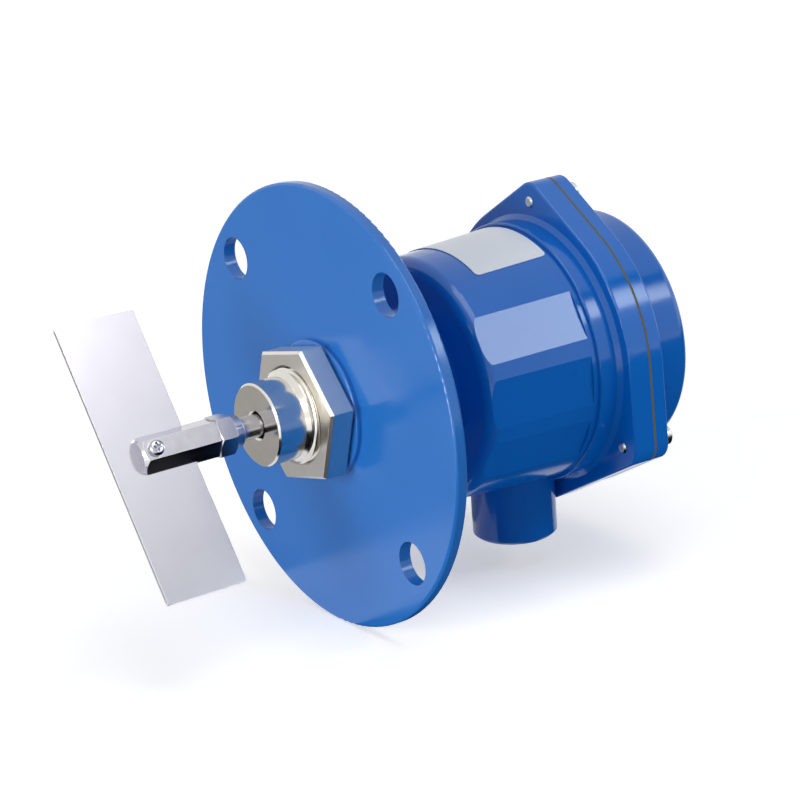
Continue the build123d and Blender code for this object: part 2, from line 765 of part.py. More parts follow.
# Cover screws and their washers, one at each ear
washer_back = cover_flange_back + cover_washer_thickness
with BuildPart() as cover_screws:
    with BuildSketch(station(washer_back + cover_screw_head_height)):
        with ear_places():
            Circle(cover_screw_head / 2)
    extrude(amount=cover_screw_head_height)
    head_edges = cover_screws.edges().filter_by(GeomType.CIRCLE).group_by(Axis.X)[-1]
    chamfer(head_edges, cover_screw_bevel)
    with BuildSketch(station(washer_back + cover_screw_head_height)):
        with ear_places():
            RegularPolygon(cover_screw_socket / 2, 6, major_radius=False)
    extrude(amount=cover_screw_head_height / 2, mode=Mode.SUBTRACT)
    with BuildSketch(station(washer_back)):
        with ear_places():
            Circle(cover_screw_diameter / 2)
    extrude(amount=washer_back - body_flange_front + cover_screw_show)
    tips = cover_screws.edges().filter_by(GeomType.CIRCLE).group_by(Axis.X)[0]
    chamfer(tips, cover_screw_point)
write(cover_screws, "cover_screws")

with BuildPart() as cover_washers:
    with BuildSketch(station(washer_back)):
        with ear_places():
            Circle(cover_washer_diameter / 2)
            Circle(cover_screw_diameter / 2 + loose_gap / 2, mode=Mode.SUBTRACT)
    extrude(amount=cover_washer_thickness)
write(cover_washers, "cover_washers")

# Label: a thin sheet bent round the top of the housing
with BuildPart() as blank_label:
    revolve(profile(*[(x, housing_radius(x) + height) for x, height in
                      ((label_start, seat_gap), (label_end, seat_gap),
                       (label_end, seat_gap + label_thickness), (label_start, seat_gap + label_thickness))]),
            axis=Axis.X)
    with BuildSketch(station(label_end)):
        with BuildLine():
            Polyline((0, 0), polar(2 * housing_radius(label_end), ear_turn - label_spread / 2),
                     polar(2 * housing_radius(label_end), ear_turn + label_spread / 2), close=True)
        make_face()
    extrude(amount=label_end - label_start, mode=Mode.INTERSECT)
write(blank_label, "blank_label")

# Chassis plate: a disc on the housing's four bosses that carries the pivot, switches, stops and spring
end_arm = arm_angle - swing_angle
stop_side = arm_width / 2 + stop_diameter / 2 + stop_gap
stop_centres = [(-stop_side, stop_place),
                (stop_place * cos(radians(end_arm)) + stop_side * sin(radians(end_arm)),
                 stop_place * sin(radians(end_arm)) - stop_side * cos(radians(end_arm)))]
switch_holes = [switch_centre - switch_hole_spacing / 2, switch_centre + switch_hole_spacing / 2]
switch_middle = switch_face + switch_height / 2
with BuildPart() as chassis_plate:
    with BuildSketch(station(chassis_back)):
        Circle(chassis_diameter / 2)
        Circle(pivot_diameter / 2 + seat_gap, mode=Mode.SUBTRACT)
        with post_places():
            Circle(post_stud / 2 + seat_gap, mode=Mode.SUBTRACT)
        with Locations(*stop_centres):
            Circle(stop_diameter / 2 + seat_gap, mode=Mode.SUBTRACT)
        with Locations((-spring_post_place, arm_pin_place)):
            Circle(spring_post_diameter / 2 + seat_gap, mode=Mode.SUBTRACT)
        with Locations((0, -chassis_diameter / 2)):
            Rectangle(wire_notch_width, 2 * wire_notch_depth, mode=Mode.SUBTRACT)
        for side in (1, -1):
            with Locations(*[(-side * switch_middle, side * place) for place in switch_holes]):
                Circle(switch_hole / 2 + seat_gap, mode=Mode.SUBTRACT)
    extrude(amount=chassis_thickness)
write(chassis_plate, "chassis_plate")

# Posts: studded into the housing's bosses through the chassis plate, tapped for the terminal plate
with BuildPart() as chassis_posts:
    with BuildSketch(station(terminal_plate_front)):
        with post_places():
            Circle(post_diameter / 2)
    extrude(amount=terminal_plate_front - chassis_back)
    with BuildSketch(station(chassis_back)):
        with post_places():
            Circle(post_stud / 2)
    extrude(amount=chassis_thickness + post_stud_depth)
    with BuildSketch(station(terminal_plate_front)):
        with post_places():
            Circle(plate_screw_diameter / 2 + seat_gap)
    extrude(amount=plate_screw_length, mode=Mode.SUBTRACT)
write(chassis_posts, "chassis_posts")

# Pivot bush: a flanged bush in the middle of the chassis plate
with BuildPart() as pivot_bush:
    revolve(profile((chassis_front, pivot_bore / 2), (pivot_back, pivot_bore / 2),
                    (pivot_back, pivot_diameter / 2), (pivot_seat, pivot_diameter / 2),
                    (pivot_seat, pivot_flange_diameter / 2), (chassis_back, pivot_flange_diameter / 2),
                    (chassis_back, pivot_diameter / 2), (chassis_front, pivot_diameter / 2)), axis=Axis.X)
write(pivot_bush, "pivot_bush")

# Stops on both sides of the swing plate's arm, and the fixed post of the return spring
with BuildPart() as swing_stops:
    with BuildSketch(station(swing_back)):
        with Locations(*stop_centres):
            Circle(stop_diameter / 2)
    extrude(amount=swing_back - chassis_front)
write(swing_stops, "swing_stops")

with BuildPart() as spring_post:
    with BuildSketch(station(swing_back + arm_pin_length)):
        with Locations((-spring_post_place, arm_pin_place)):
            Circle(spring_post_diameter / 2)
    extrude(amount=swing_back + arm_pin_length - chassis_front)
write(spring_post, "spring_post")

# Swing plate: it turns on the pivot bush, with an arm between the stops and a rising cam for each switch
motor_screw_places = PolarLocations(motor_screw_circle_diameter / 2, motor_screw_count,
                                    start_angle=motor_screw_turn)
tip_angle = degrees(atan(lever_tip_place / lever_tip_height))
tip_radius = (lever_tip_place ** 2 + lever_tip_height ** 2) ** 0.5 - lever_tip_diameter / 2


def cam_point(angle, radius):
    """Point on a cam, its angle counted from the switch's middle line the way the plate swings."""
    return (radius * sin(radians(angle)), radius * cos(radians(angle)))


def cam_radius(angle):
    """Cam radius, which rises at a steady rate so that the lever lifts in step with the swing."""
    return tip_radius - cam_gap + cam_slope * (tip_angle - angle)


with BuildPart() as swing_plate:
    with BuildSketch(station(swing_back)):
        Circle(gearbox_diameter / 2)
        with Locations((0, arm_reach / 2)):
            Rectangle(arm_width, arm_reach)
    extrude(amount=swing_plate_thickness)
    cam_start = tip_angle + cam_lead
    cam_stop = tip_angle - cam_tail
    cam_steps = [cam_start + (cam_stop - cam_start) * k / (cam_points - 1) for k in range(cam_points)]
    for side in (1, -1):
        with BuildSketch(switch_station(swing_back, side)):
            with BuildLine():
                ramp = Spline(*[cam_point(angle, cam_radius(angle)) for angle in cam_steps])
                Polyline(ramp @ 1, cam_point(cam_stop, pivot_diameter / 2),
                         cam_point(cam_start, pivot_diameter / 2), ramp @ 0)
            make_face()
        extrude(amount=swing_plate_thickness)
    with BuildSketch(station(swing_back)):
        Circle(pivot_diameter / 2 + running_gap)
        with motor_screw_places:
            Circle(motor_screw_diameter / 2 + seat_gap)
        with Locations((0, arm_pin_place)):
            Circle(arm_pin_diameter / 2 + seat_gap)
    extrude(amount=swing_plate_thickness, mode=Mode.SUBTRACT)
write(swing_plate, "swing_plate")

with BuildPart() as arm_pin:
    with BuildSketch(station(swing_back + arm_pin_length)):
        with Locations((0, arm_pin_place)):
            Circle(arm_pin_diameter / 2)
    extrude(amount=swing_plate_thickness + arm_pin_length)
write(arm_pin, "arm_pin")

# Gearbox: bored to turn on the pivot bush, with room for the output spindle
with BuildPart() as gearbox:
    revolve(disc(swing_back, gearbox_back, gearbox_diameter), axis=Axis.X)
    revolve(disc(swing_back, pivot_back + loose_gap, pivot_diameter + 2 * running_gap), axis=Axis.X,
            mode=Mode.SUBTRACT)
    revolve(disc(swing_back, spindle_back + loose_gap, spindle_diameter + 2 * loose_gap), axis=Axis.X,
            mode=Mode.SUBTRACT)
    with BuildSketch(station(swing_back + motor_screw_length)):
        with motor_screw_places:
            Circle(motor_screw_diameter / 2 + seat_gap)
    extrude(amount=motor_screw_length, mode=Mode.SUBTRACT)
write(gearbox, "gearbox")

with BuildPart() as motor:
    revolve(disc(gearbox_back, motor_back, motor_diameter), axis=Axis.X)
    chamfer(motor.edges().filter_by(GeomType.CIRCLE), motor_edge)
write(motor, "motor")

with BuildPart() as motor_screws:
    with BuildSketch(station(swing_front)):
        with motor_screw_places:
            Circle(motor_screw_head / 2)
    extrude(amount=motor_screw_head_height)
    with BuildSketch(station(swing_back + motor_screw_length - loose_gap)):
        with motor_screw_places:
            Circle(motor_screw_diameter / 2)
    extrude(amount=motor_screw_length - loose_gap + swing_plate_thickness)
write(motor_screws, "motor_screws")

# Output spindle, coupling sleeve and cross pin that turn with the shaft
with BuildPart() as gearbox_spindle:
    revolve(disc(shaft_end + loose_gap, spindle_back, spindle_diameter), axis=Axis.X)
write(gearbox_spindle, "gearbox_spindle")

with BuildPart() as drive_coupling:
    shaft_bore = bearing_bore / 2 + seat_gap
    spindle_bore = spindle_diameter / 2 + seat_gap
    revolve(profile((coupling_front, shaft_bore), (shaft_end + seat_gap, shaft_bore),
                    (shaft_end + seat_gap, spindle_bore), (coupling_back, spindle_bore),
                    (coupling_back, coupling_diameter / 2), (coupling_front, coupling_diameter / 2)),
            axis=Axis.X)
    with BuildSketch(Plane.XY):
        with Locations((pin_place, 0)):
            Circle(coupling_pin_diameter / 2 + seat_gap)
    extrude(amount=coupling_diameter, both=True, mode=Mode.SUBTRACT)
write(drive_coupling, "drive_coupling")

with BuildPart() as coupling_pin:
    with BuildSketch(Plane.XY):
        with Locations((pin_place, 0)):
            Circle(coupling_pin_diameter / 2)
    extrude(amount=coupling_diameter / 2 - loose_gap, both=True)
write(coupling_pin, "coupling_pin")

# Lever switches: the far one signals, the near one stops the motor
switch_mid = chassis_back + switch_thickness / 2
switch_back = chassis_back + switch_thickness
ear_inner = lever_width / 2 + lever_side_gap
for name, side in (("signal_switch", 1), ("motor_stop_switch", -1)):
    with BuildPart() as switch_case:
        with BuildSketch(switch_station(switch_back, side)):
            with Locations((switch_centre, switch_middle)):
                Rectangle(switch_length, switch_height)
        extrude(amount=switch_thickness)
        for ear_back in (switch_mid + ear_inner + lever_ear_thickness, switch_mid - ear_inner):
            with BuildSketch(switch_station(ear_back, side)):
                with Locations((lever_pivot, lever_height)):
                    Circle(lever_eye_diameter / 2)
                    Rectangle(lever_eye_diameter, switch_middle - lever_height,
                              align=(Align.CENTER, Align.MIN))
            extrude(amount=lever_ear_thickness)
        with BuildSketch(switch_station(switch_back, side)):
            with Locations((lever_pivot, lever_height)):
                Circle(lever_pin_diameter / 2 + running_gap)
            with Locations(*[(place, switch_middle) for place in switch_holes]):
                Circle(switch_hole / 2 + seat_gap)
        extrude(amount=switch_thickness, mode=Mode.SUBTRACT)
        plunger_foot = Plane(origin=(switch_mid, side * (switch_face - plunger_show), side * plunger_place),
                             x_dir=(1, 0, 0), z_dir=(0, side, 0))
        with BuildSketch(plunger_foot):
            Circle(plunger_diameter / 2 + running_gap)
        extrude(amount=plunger_depth + plunger_show, mode=Mode.SUBTRACT)
    write(switch_case, f"{name}_case")
    with BuildPart() as plunger:
        with BuildSketch(plunger_foot):
            Circle(plunger_diameter / 2)
        extrude(amount=plunger_depth - lever_lift + plunger_show)
    write(plunger, f"{name}_plunger")
    with BuildPart() as lever:
        with BuildSketch(switch_station(switch_mid + lever_width / 2, side)):
            with Locations(((lever_pivot + lever_tip_place) / 2, lever_height)):
                Rectangle(lever_tip_place - lever_pivot, lever_thickness)
            with Locations((lever_pivot, lever_height)):
                Circle(lever_eye_diameter / 2)
            with Locations((lever_tip_place, lever_tip_height)):
                Circle(lever_tip_diameter / 2)
        extrude(amount=lever_width)
        with BuildSketch(switch_station(switch_mid + ear_inner + lever_ear_thickness, side)):
            with Locations((lever_pivot, lever_height)):
                Circle(lever_pin_diameter / 2)
        extrude(amount=2 * (ear_inner + lever_ear_thickness))
    write(lever, f"{name}_lever")

with BuildPart() as switch_screws:
    for side in (1, -1):
        places = [(place, switch_middle) for place in switch_holes]
        with BuildSketch(switch_station(switch_back + switch_screw_head_height, side)):
            with Locations(*places):
                Circle(switch_screw_head / 2)
        extrude(amount=switch_screw_head_height)
        with BuildSketch(switch_station(switch_back, side)):
            with Locations(*places):
                Circle(switch_hole / 2)
        extrude(amount=switch_back - chassis_front)
write(switch_screws, "switch_screws")

with BuildPart() as switch_tabs:
    for side in (1, -1):
        with BuildSketch(switch_station(switch_mid + switch_tab_thickness / 2, side)):
            with Locations(*[(switch_centre + k * switch_tab_spacing,
                              switch_face + switch_height + switch_tab_length / 2) for k in (-1, 0, 1)]):
                Rectangle(switch_tab_width, switch_tab_length)
        extrude(amount=switch_tab_thickness)
write(switch_tabs, "switch_tabs")

# Return spring: ridged like its coils, between a loop round the arm's pin and a loop round the post
spring_plane = Plane(origin=(spring_level, 0, arm_pin_place), x_dir=(0, 1, 0), z_dir=(1, 0, 0))
pin_loop = arm_pin_diameter / 2 + loose_gap
post_loop = spring_post_diameter / 2 + loose_gap
coils_start = pin_loop + spring_wire / 2
coils_end = spring_post_place - post_loop - spring_wire / 2
coil_step = (coils_end - coils_start) / spring_coils / 2
spring_bore = spring_diameter / 2 - spring_wire
ridges = [(coils_start + k * coil_step, spring_diameter / 2 - spring_wire / 2 * (k % 2))
          for k in range(2 * spring_coils + 1)]
with BuildPart() as return_spring:
    with BuildSketch(spring_plane):
        with BuildLine():
            Polyline((coils_start, spring_bore), *ridges, (coils_end, spring_bore), close=True)
        make_face()
    revolve(axis=Axis(spring_plane.origin, spring_plane.x_dir))
    with BuildSketch(spring_plane.offset(-spring_wire / 2)):
        for place, loop in ((0, pin_loop), (spring_post_place, post_loop)):
            with Locations((place, 0)):
                Circle(loop + spring_wire)
                Circle(loop, mode=Mode.SUBTRACT)
    extrude(amount=spring_wire)
    for place, toward in ((coils_start, -1), (coils_end, 1)):
        with BuildSketch(Plane(origin=(spring_level, place, arm_pin_place), z_dir=(0, toward, 0))):
            Rectangle(spring_wire, spring_diameter - spring_wire)
        extrude(amount=spring_wire / 2)
write(return_spring, "return_spring")

# Terminal plate on the posts, with its screws
earth_x, earth_y = earth_screw_place
terminal_width = terminal_poles * terminal_pitch + terminal_rib
pole_places = [((k - (terminal_poles - 1) / 2) * terminal_pitch, -terminal_drop)
               for k in range(terminal_poles)]
rib_places = [((k - terminal_poles / 2) * terminal_pitch, -terminal_drop)
              for k in range(terminal_poles + 1)]
block_screw_places = [(s * (terminal_width + terminal_ear) / 2, -terminal_drop) for s in (-1, 1)]
with BuildPart() as terminal_plate:
    with BuildSketch(station(terminal_plate_back)):
        Circle(chassis_diameter / 2)
        with post_places():
            Circle(plate_screw_diameter / 2 + seat_gap, mode=Mode.SUBTRACT)
        with Locations((0, -chassis_diameter / 2)):
            Rectangle(wire_notch_width, 2 * wire_notch_depth, mode=Mode.SUBTRACT)
        with Locations((earth_x, earth_y)):
            Circle(earth_screw_diameter / 2 + seat_gap, mode=Mode.SUBTRACT)
        with Locations(*block_screw_places):
            Circle(block_screw_diameter / 2 + seat_gap, mode=Mode.SUBTRACT)
    extrude(amount=terminal_plate_thickness)
write(terminal_plate, "terminal_plate")

with BuildPart() as plate_screws:
    with BuildSketch(station(terminal_plate_back + plate_screw_head_height)):
        with post_places():
            Circle(plate_screw_head / 2)
    extrude(amount=plate_screw_head_height)
    with BuildSketch(station(terminal_plate_back)):
        with post_places():
            Circle(plate_screw_diameter / 2)
    extrude(amount=plate_screw_length)
write(plate_screws, "plate_screws")

# Terminal block with a rib between its poles, its clamping screws and the screws that hold it
block_back = terminal_plate_back + terminal_height
with BuildPart() as terminal_block:
    with BuildSketch(station(block_back)):
        with Locations((0, -terminal_drop)):
            Rectangle(terminal_width, terminal_depth)
    extrude(amount=terminal_height)
    with BuildSketch(station(block_back + terminal_rib_height)):
        with Locations(*rib_places):
            Rectangle(terminal_rib, terminal_depth)
    extrude(amount=terminal_rib_height)
    with BuildSketch(station(terminal_plate_back + terminal_ear_thickness)):
        with Locations((0, -terminal_drop)):
            Rectangle(terminal_width + 2 * terminal_ear, terminal_ear_width)
    extrude(amount=terminal_ear_thickness)
    with BuildSketch(station(block_back)):
        with Locations(*pole_places):
            Circle(terminal_screw_diameter / 2 + seat_gap)
        with Locations(*block_screw_places):
            Circle(block_screw_diameter / 2 + seat_gap)
    extrude(amount=terminal_height, mode=Mode.SUBTRACT)
write(terminal_block, "terminal_block")

with BuildPart() as terminal_screws:
    with BuildSketch(station(block_back + terminal_screw_head_height)):
        with Locations(*pole_places):
            Circle(terminal_screw_head / 2)
    extrude(amount=terminal_screw_head_height)
    with BuildSketch(station(block_back + terminal_screw_head_height)):
        with Locations(*pole_places):
            Rectangle(terminal_screw_head, terminal_screw_slot)
    extrude(amount=terminal_screw_head_height / 2, mode=Mode.SUBTRACT)
    with BuildSketch(station(block_back)):
        with Locations(*pole_places):
            Circle(terminal_screw_diameter / 2)
    extrude(amount=terminal_screw_length)
write(terminal_screws, "terminal_screws")

with BuildPart() as block_screws:
    ear_top = terminal_plate_back + terminal_ear_thickness
    with BuildSketch(station(ear_top + plate_screw_head_height)):
        with Locations(*block_screw_places):
            Circle(block_screw_head / 2)
    extrude(amount=plate_screw_head_height)
    with BuildSketch(station(ear_top)):
        with Locations(*block_screw_places):
            Circle(block_screw_diameter / 2)
    extrude(amount=ear_top - terminal_plate_front)
write(block_screws, "block_screws")

with BuildPart() as earth_screw:
    with BuildSketch(station(terminal_plate_back + earth_screw_head_height)):
        with Locations((earth_x, earth_y)):
            RegularPolygon(earth_screw_head / 2, 6, major_radius=False)
    extrude(amount=earth_screw_head_height)
    with BuildSketch(station(terminal_plate_back)):
        with Locations((earth_x, earth_y)):
            Circle(earth_screw_diameter / 2)
    extrude(amount=earth_screw_length)
write(earth_screw, "earth_screw")
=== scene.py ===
"""Rotary paddle level switch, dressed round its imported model.

The castings are enamelled, the metal parts get the marks of how they were made, and four pieces
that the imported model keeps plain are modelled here: the neck with its thread, the blade's
cross-recessed screw, the label's film and the return spring's wire. +X runs along the shaft from
the paddle to the cover and +Z is up, in metres.
"""

import json
from math import cos, pi, radians, sin, tan

import bmesh
import bpy
import numpy as np
from mathutils import Matrix, Vector


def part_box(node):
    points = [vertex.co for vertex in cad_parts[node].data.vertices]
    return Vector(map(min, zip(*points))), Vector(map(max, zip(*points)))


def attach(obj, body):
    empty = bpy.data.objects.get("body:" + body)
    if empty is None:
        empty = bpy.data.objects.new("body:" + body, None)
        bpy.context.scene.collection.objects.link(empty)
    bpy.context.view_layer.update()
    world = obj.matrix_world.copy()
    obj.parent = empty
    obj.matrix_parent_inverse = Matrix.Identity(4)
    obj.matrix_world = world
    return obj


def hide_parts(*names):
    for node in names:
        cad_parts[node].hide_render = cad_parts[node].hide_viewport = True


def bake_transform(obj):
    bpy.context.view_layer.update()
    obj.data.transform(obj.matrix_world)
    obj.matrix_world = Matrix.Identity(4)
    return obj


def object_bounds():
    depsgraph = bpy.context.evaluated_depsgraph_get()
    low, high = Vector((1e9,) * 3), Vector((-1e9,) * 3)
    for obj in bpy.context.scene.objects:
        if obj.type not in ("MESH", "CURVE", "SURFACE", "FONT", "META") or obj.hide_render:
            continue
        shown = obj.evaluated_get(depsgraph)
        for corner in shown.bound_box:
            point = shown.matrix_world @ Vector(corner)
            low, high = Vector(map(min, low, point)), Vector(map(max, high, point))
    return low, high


bl_info = {
    "name": "Rotary Paddle Level Switch",
    "version": (1, 0, 0),
    "blender": (4, 5, 0),
    "location": "View3D > Sidebar > Level Switch",
    "description": "Finishes, small modelled pieces and a stage for a rotary paddle level switch",
    "category": "Add Mesh",
}

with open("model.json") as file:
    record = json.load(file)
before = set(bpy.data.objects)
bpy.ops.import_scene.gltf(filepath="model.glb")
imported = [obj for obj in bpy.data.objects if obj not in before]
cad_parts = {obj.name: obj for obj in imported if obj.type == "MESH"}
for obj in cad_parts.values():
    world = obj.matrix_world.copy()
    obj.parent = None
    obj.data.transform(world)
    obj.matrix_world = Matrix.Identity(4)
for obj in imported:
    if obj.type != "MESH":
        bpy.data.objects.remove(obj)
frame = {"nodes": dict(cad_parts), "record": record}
cad_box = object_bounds()
MM = 0.001
# The Mix node has a set of sockets for each kind of data, all named alike, so they go by number
FLOAT_A, FLOAT_B, COLOUR_A, COLOUR_B = 2, 3, 6, 7
COLOUR_RESULT = 2
BLACK_CLOTH = ("070707", "0A0A0A")


def colour(hex_code):
    """Linear colour of an sRGB hex value: each channel is raised to the display's curve."""
    channels = [int(hex_code[i:i + 2], 16) / 255 for i in (0, 2, 4)]
    return [c / 12.92 if c <= 0.04045 else ((c + 0.055) / 1.055) ** 2.4 for c in channels] + [1.0]


# Settings that a user would change

class EnamelSettings(bpy.types.PropertyGroup):
    """The stoved enamel of the castings and the flange"""
    colour: bpy.props.FloatVectorProperty(
        name="Enamel", description="Colour of the stoved enamel", subtype="COLOR", size=4,
        default=colour("0360BC"))
    thin_colour: bpy.props.FloatVectorProperty(
        name="Thin Enamel", description="Its colour where the coat is thin", subtype="COLOR",
        size=4, default=colour("0566C2"))
    # Painted sheen: the flange's shades are paler than the castings' though the paint is the same
    painted_sheen_plate_colour: bpy.props.FloatVectorProperty(
        name="Plate Enamel", description="Colour of the flange's enamel, a little chalkier",
        subtype="COLOR", size=4, default=colour("1863B6"))
    thin_painted_sheen_plate_colour: bpy.props.FloatVectorProperty(
        name="Thin Plate Enamel", description="Its colour where the coat is thin", subtype="COLOR",
        size=4, default=colour("276DBE"))
    peel_size: bpy.props.FloatProperty(
        name="Orange Peel", description="Spacing of the enamel's slow waves",
        default=1.8 * MM, unit="LENGTH")
    peel_height: bpy.props.FloatProperty(
        name="Peel Height", description="Height of the enamel's slow waves",
        default=0.012 * MM, unit="LENGTH")
    edge_round: bpy.props.FloatProperty(
        name="Edge Rounding", description="Radius that the enamel builds up on a sharp edge",
        default=0.45 * MM, unit="LENGTH")


class MetalSettings(bpy.types.PropertyGroup):
    """The bare and plated metals"""
    nickel: bpy.props.FloatVectorProperty(
        name="Nickel", description="Colour of the nickel plate", subtype="COLOR", size=4,
        default=colour("E6E4DF"))
    stainless: bpy.props.FloatVectorProperty(
        name="Stainless", description="Colour of the stainless bar", subtype="COLOR", size=4,
        default=colour("BFBDC4"))
    turning_pitch: bpy.props.FloatProperty(
        name="Turning Marks", description="Spacing of the rings that a lathe tool leaves",
        default=0.25 * MM, unit="LENGTH")
    edge_round: bpy.props.FloatProperty(
        name="Edge Break", description="Radius of the broken edges",
        default=0.15 * MM, unit="LENGTH")


class NeckSettings(bpy.types.PropertyGroup):
    """The threaded neck, with its places along the shaft's axis"""
    thread: bpy.props.FloatProperty(
        name="Thread", description="Outer diameter of the pipe thread",
        default=33.25 * MM, unit="LENGTH")
    pitch: bpy.props.FloatProperty(
        name="Pitch", description="Pitch of the thread, eleven turns to the inch",
        default=25.4 * MM / 11, unit="LENGTH")
    nose: bpy.props.FloatProperty(
        name="Nose", description="Diameter of the plain nose", default=28.85 * MM, unit="LENGTH")
    cone: bpy.props.FloatProperty(
        name="Cone", description="Where the cone from the nose meets the thread's crests",
        default=-13.6 * MM, unit="LENGTH")
    collar_front: bpy.props.FloatProperty(
        name="Collar Front", description="Front of the hexagon collar",
        default=6.0 * MM, unit="LENGTH")
    collar_back: bpy.props.FloatProperty(
        name="Collar Back", description="Back of the hexagon collar",
        default=13.0 * MM, unit="LENGTH")
    flats: bpy.props.FloatProperty(
        name="Flats", description="Width of the collar over its flats",
        default=41.0 * MM, unit="LENGTH")
    turn: bpy.props.FloatProperty(
        name="Collar Turn", description="Angle of the collar's first corner up from the front",
        default=radians(12.4), unit="ROTATION")
    bore: bpy.props.FloatProperty(
        name="Bore", description="Diameter of the bearings' bore",
        default=19.04 * MM, unit="LENGTH")
    wall: bpy.props.FloatProperty(
        name="Front Wall", description="Thickness of the nose's front wall",
        default=2.4 * MM, unit="LENGTH")
    hole: bpy.props.FloatProperty(
        name="Shaft Hole", description="Diameter of the hole round the shaft",
        default=9.2 * MM, unit="LENGTH")
    edge: bpy.props.FloatProperty(
        name="Bevel", description="Bevel at the nose's front", default=0.6 * MM, unit="LENGTH")
    groove_front: bpy.props.FloatProperty(
        name="Groove Front", description="Front of the snap ring's groove",
        default=43.7 * MM, unit="LENGTH")
    groove_back: bpy.props.FloatProperty(
        name="Groove Back", description="Back of the snap ring's groove",
        default=44.8 * MM, unit="LENGTH")
    groove_depth: bpy.props.FloatProperty(
        name="Groove Depth", description="Depth of the snap ring's groove",
        default=0.6 * MM, unit="LENGTH")


class ScrewSettings(bpy.types.PropertyGroup):
    """The blade's screw"""
    seat: bpy.props.FloatProperty(
        name="Seat", description="Height of the holder's flat over the shaft's axis",
        default=6.0 * MM, unit="LENGTH")
    tilt: bpy.props.FloatProperty(
        name="Tilt", description="Angle of the screw up from the front",
        default=radians(36.3), unit="ROTATION")
    head: bpy.props.FloatProperty(
        name="Head", description="Diameter of the head", default=5.6 * MM, unit="LENGTH")
    height: bpy.props.FloatProperty(
        name="Height", description="Height of the head", default=2.0 * MM, unit="LENGTH")
    crown: bpy.props.FloatProperty(
        name="Crown", description="Radius of the head's rounded rim",
        default=1.2 * MM, unit="LENGTH")
    dome: bpy.props.FloatProperty(
        name="Dome", description="Fall of the head's top towards its rim",
        default=0.25 * MM, unit="LENGTH")
    shank: bpy.props.FloatProperty(
        name="Shank", description="Diameter of the shank", default=3.0 * MM, unit="LENGTH")
    length: bpy.props.FloatProperty(
        name="Length", description="Length under the head", default=12.0 * MM, unit="LENGTH")
    point: bpy.props.FloatProperty(
        name="Point", description="Bevel at the shank's end", default=0.3 * MM, unit="LENGTH")
    recess: bpy.props.FloatProperty(
        name="Recess", description="Span of the cross recess", default=3.2 * MM, unit="LENGTH")
    recess_slot: bpy.props.FloatProperty(
        name="Recess Slot", description="Width of the cross recess's arms",
        default=0.8 * MM, unit="LENGTH")
    recess_depth: bpy.props.FloatProperty(
        name="Recess Depth", description="Depth of the cross recess at its middle",
        default=1.1 * MM, unit="LENGTH")
    recess_flank: bpy.props.FloatProperty(
        name="Recess Flank", description="Width of the slope at each side of an arm",
        default=0.25 * MM, unit="LENGTH")


class LabelSettings(bpy.types.PropertyGroup):
    """The bare label"""
    film: bpy.props.FloatVectorProperty(
        name="Film", description="Colour of the bare label", subtype="COLOR", size=4,
        default=colour("DFE5F0"))
    corner: bpy.props.FloatProperty(
        name="Corner", description="Radius of the label's corners", default=1.6 * MM, unit="LENGTH")
    spread: bpy.props.FloatProperty(
        name="Spread", description="Angle that the label takes up round the housing",
        default=radians(56.0), unit="ROTATION")
    taper: bpy.props.FloatProperty(
        name="Taper", description="Draft of the housing under the label",
        default=radians(2.686), unit="ROTATION")
    thickness: bpy.props.FloatProperty(
        name="Thickness", description="Thickness of the film", default=0.3 * MM, unit="LENGTH")


class SpringSettings(bpy.types.PropertyGroup):
    """The return spring"""
    wire: bpy.props.FloatProperty(
        name="Wire", description="Diameter of the wire", default=0.8 * MM, unit="LENGTH")
    coils: bpy.props.IntProperty(
        name="Coils", description="Number of coils", default=10, min=2)
    coil: bpy.props.FloatProperty(
        name="Coil", description="Outer diameter of the coils", default=4.0 * MM, unit="LENGTH")
    loop_play: bpy.props.FloatProperty(
        name="Loop Play", description="Room between an end loop and its pin",
        default=0.3 * MM, unit="LENGTH")
    loop_opening: bpy.props.FloatProperty(
        name="Loop Opening", description="Angle left open where a loop meets the coils",
        default=radians(70.0), unit="ROTATION")


class StageSettings(bpy.types.PropertyGroup):
    """The camera, the floor and the lights"""
    camera_place: bpy.props.FloatVectorProperty(
        name="Camera", description="Place of the camera", size=3,
        default=(-0.5209, -0.8233, 0.3169), subtype="TRANSLATION", unit="LENGTH")
    camera_turn: bpy.props.FloatProperty(
        name="Turn", description="Turn of the view from +Y towards +X", default=radians(33.89),
        unit="ROTATION")
    camera_drop: bpy.props.FloatProperty(
        name="Drop", description="Angle that the view looks down", default=radians(17.99),
        unit="ROTATION")
    camera_roll: bpy.props.FloatProperty(
        name="Roll", description="Roll of the camera", default=radians(-4.01), unit="ROTATION")
    camera_lens: bpy.props.FloatProperty(
        name="Lens", description="Focal length in millimetres", default=135.75)
    floor_colour: bpy.props.FloatVectorProperty(
        name="Floor", description="Colour of the floor", subtype="COLOR", size=4,
        default=colour("F0F0F0"))
    floor_lift: bpy.props.FloatProperty(
        name="Floor Lift", description="Extra whiteness of the floor where it is seen",
        default=0.45)
    floor_fade_start: bpy.props.FloatProperty(
        name="Fade Start", description="How far out the floor starts to fade into white",
        default=0.5, unit="LENGTH")
    floor_fade_end: bpy.props.FloatProperty(
        name="Fade End", description="How far out the floor is white", default=1.7, unit="LENGTH")
    ambient: bpy.props.FloatProperty(
        name="Ambient", description="Level of the light from all round", default=0.25)
    low_light: bpy.props.FloatProperty(
        name="Low Light", description="Power of the low light on the left",
        default=48.0, unit="POWER")
    top_light: bpy.props.FloatProperty(
        name="Top Light", description="Power of the light overhead", default=19.0, unit="POWER")
    softbox: bpy.props.FloatProperty(
        name="Softbox", description="Power of the softbox in front", default=5.5, unit="POWER")
    fill: bpy.props.FloatProperty(
        name="Fill", description="Power of the weak light on the right", default=4.5, unit="POWER")


# Nodes and meshes

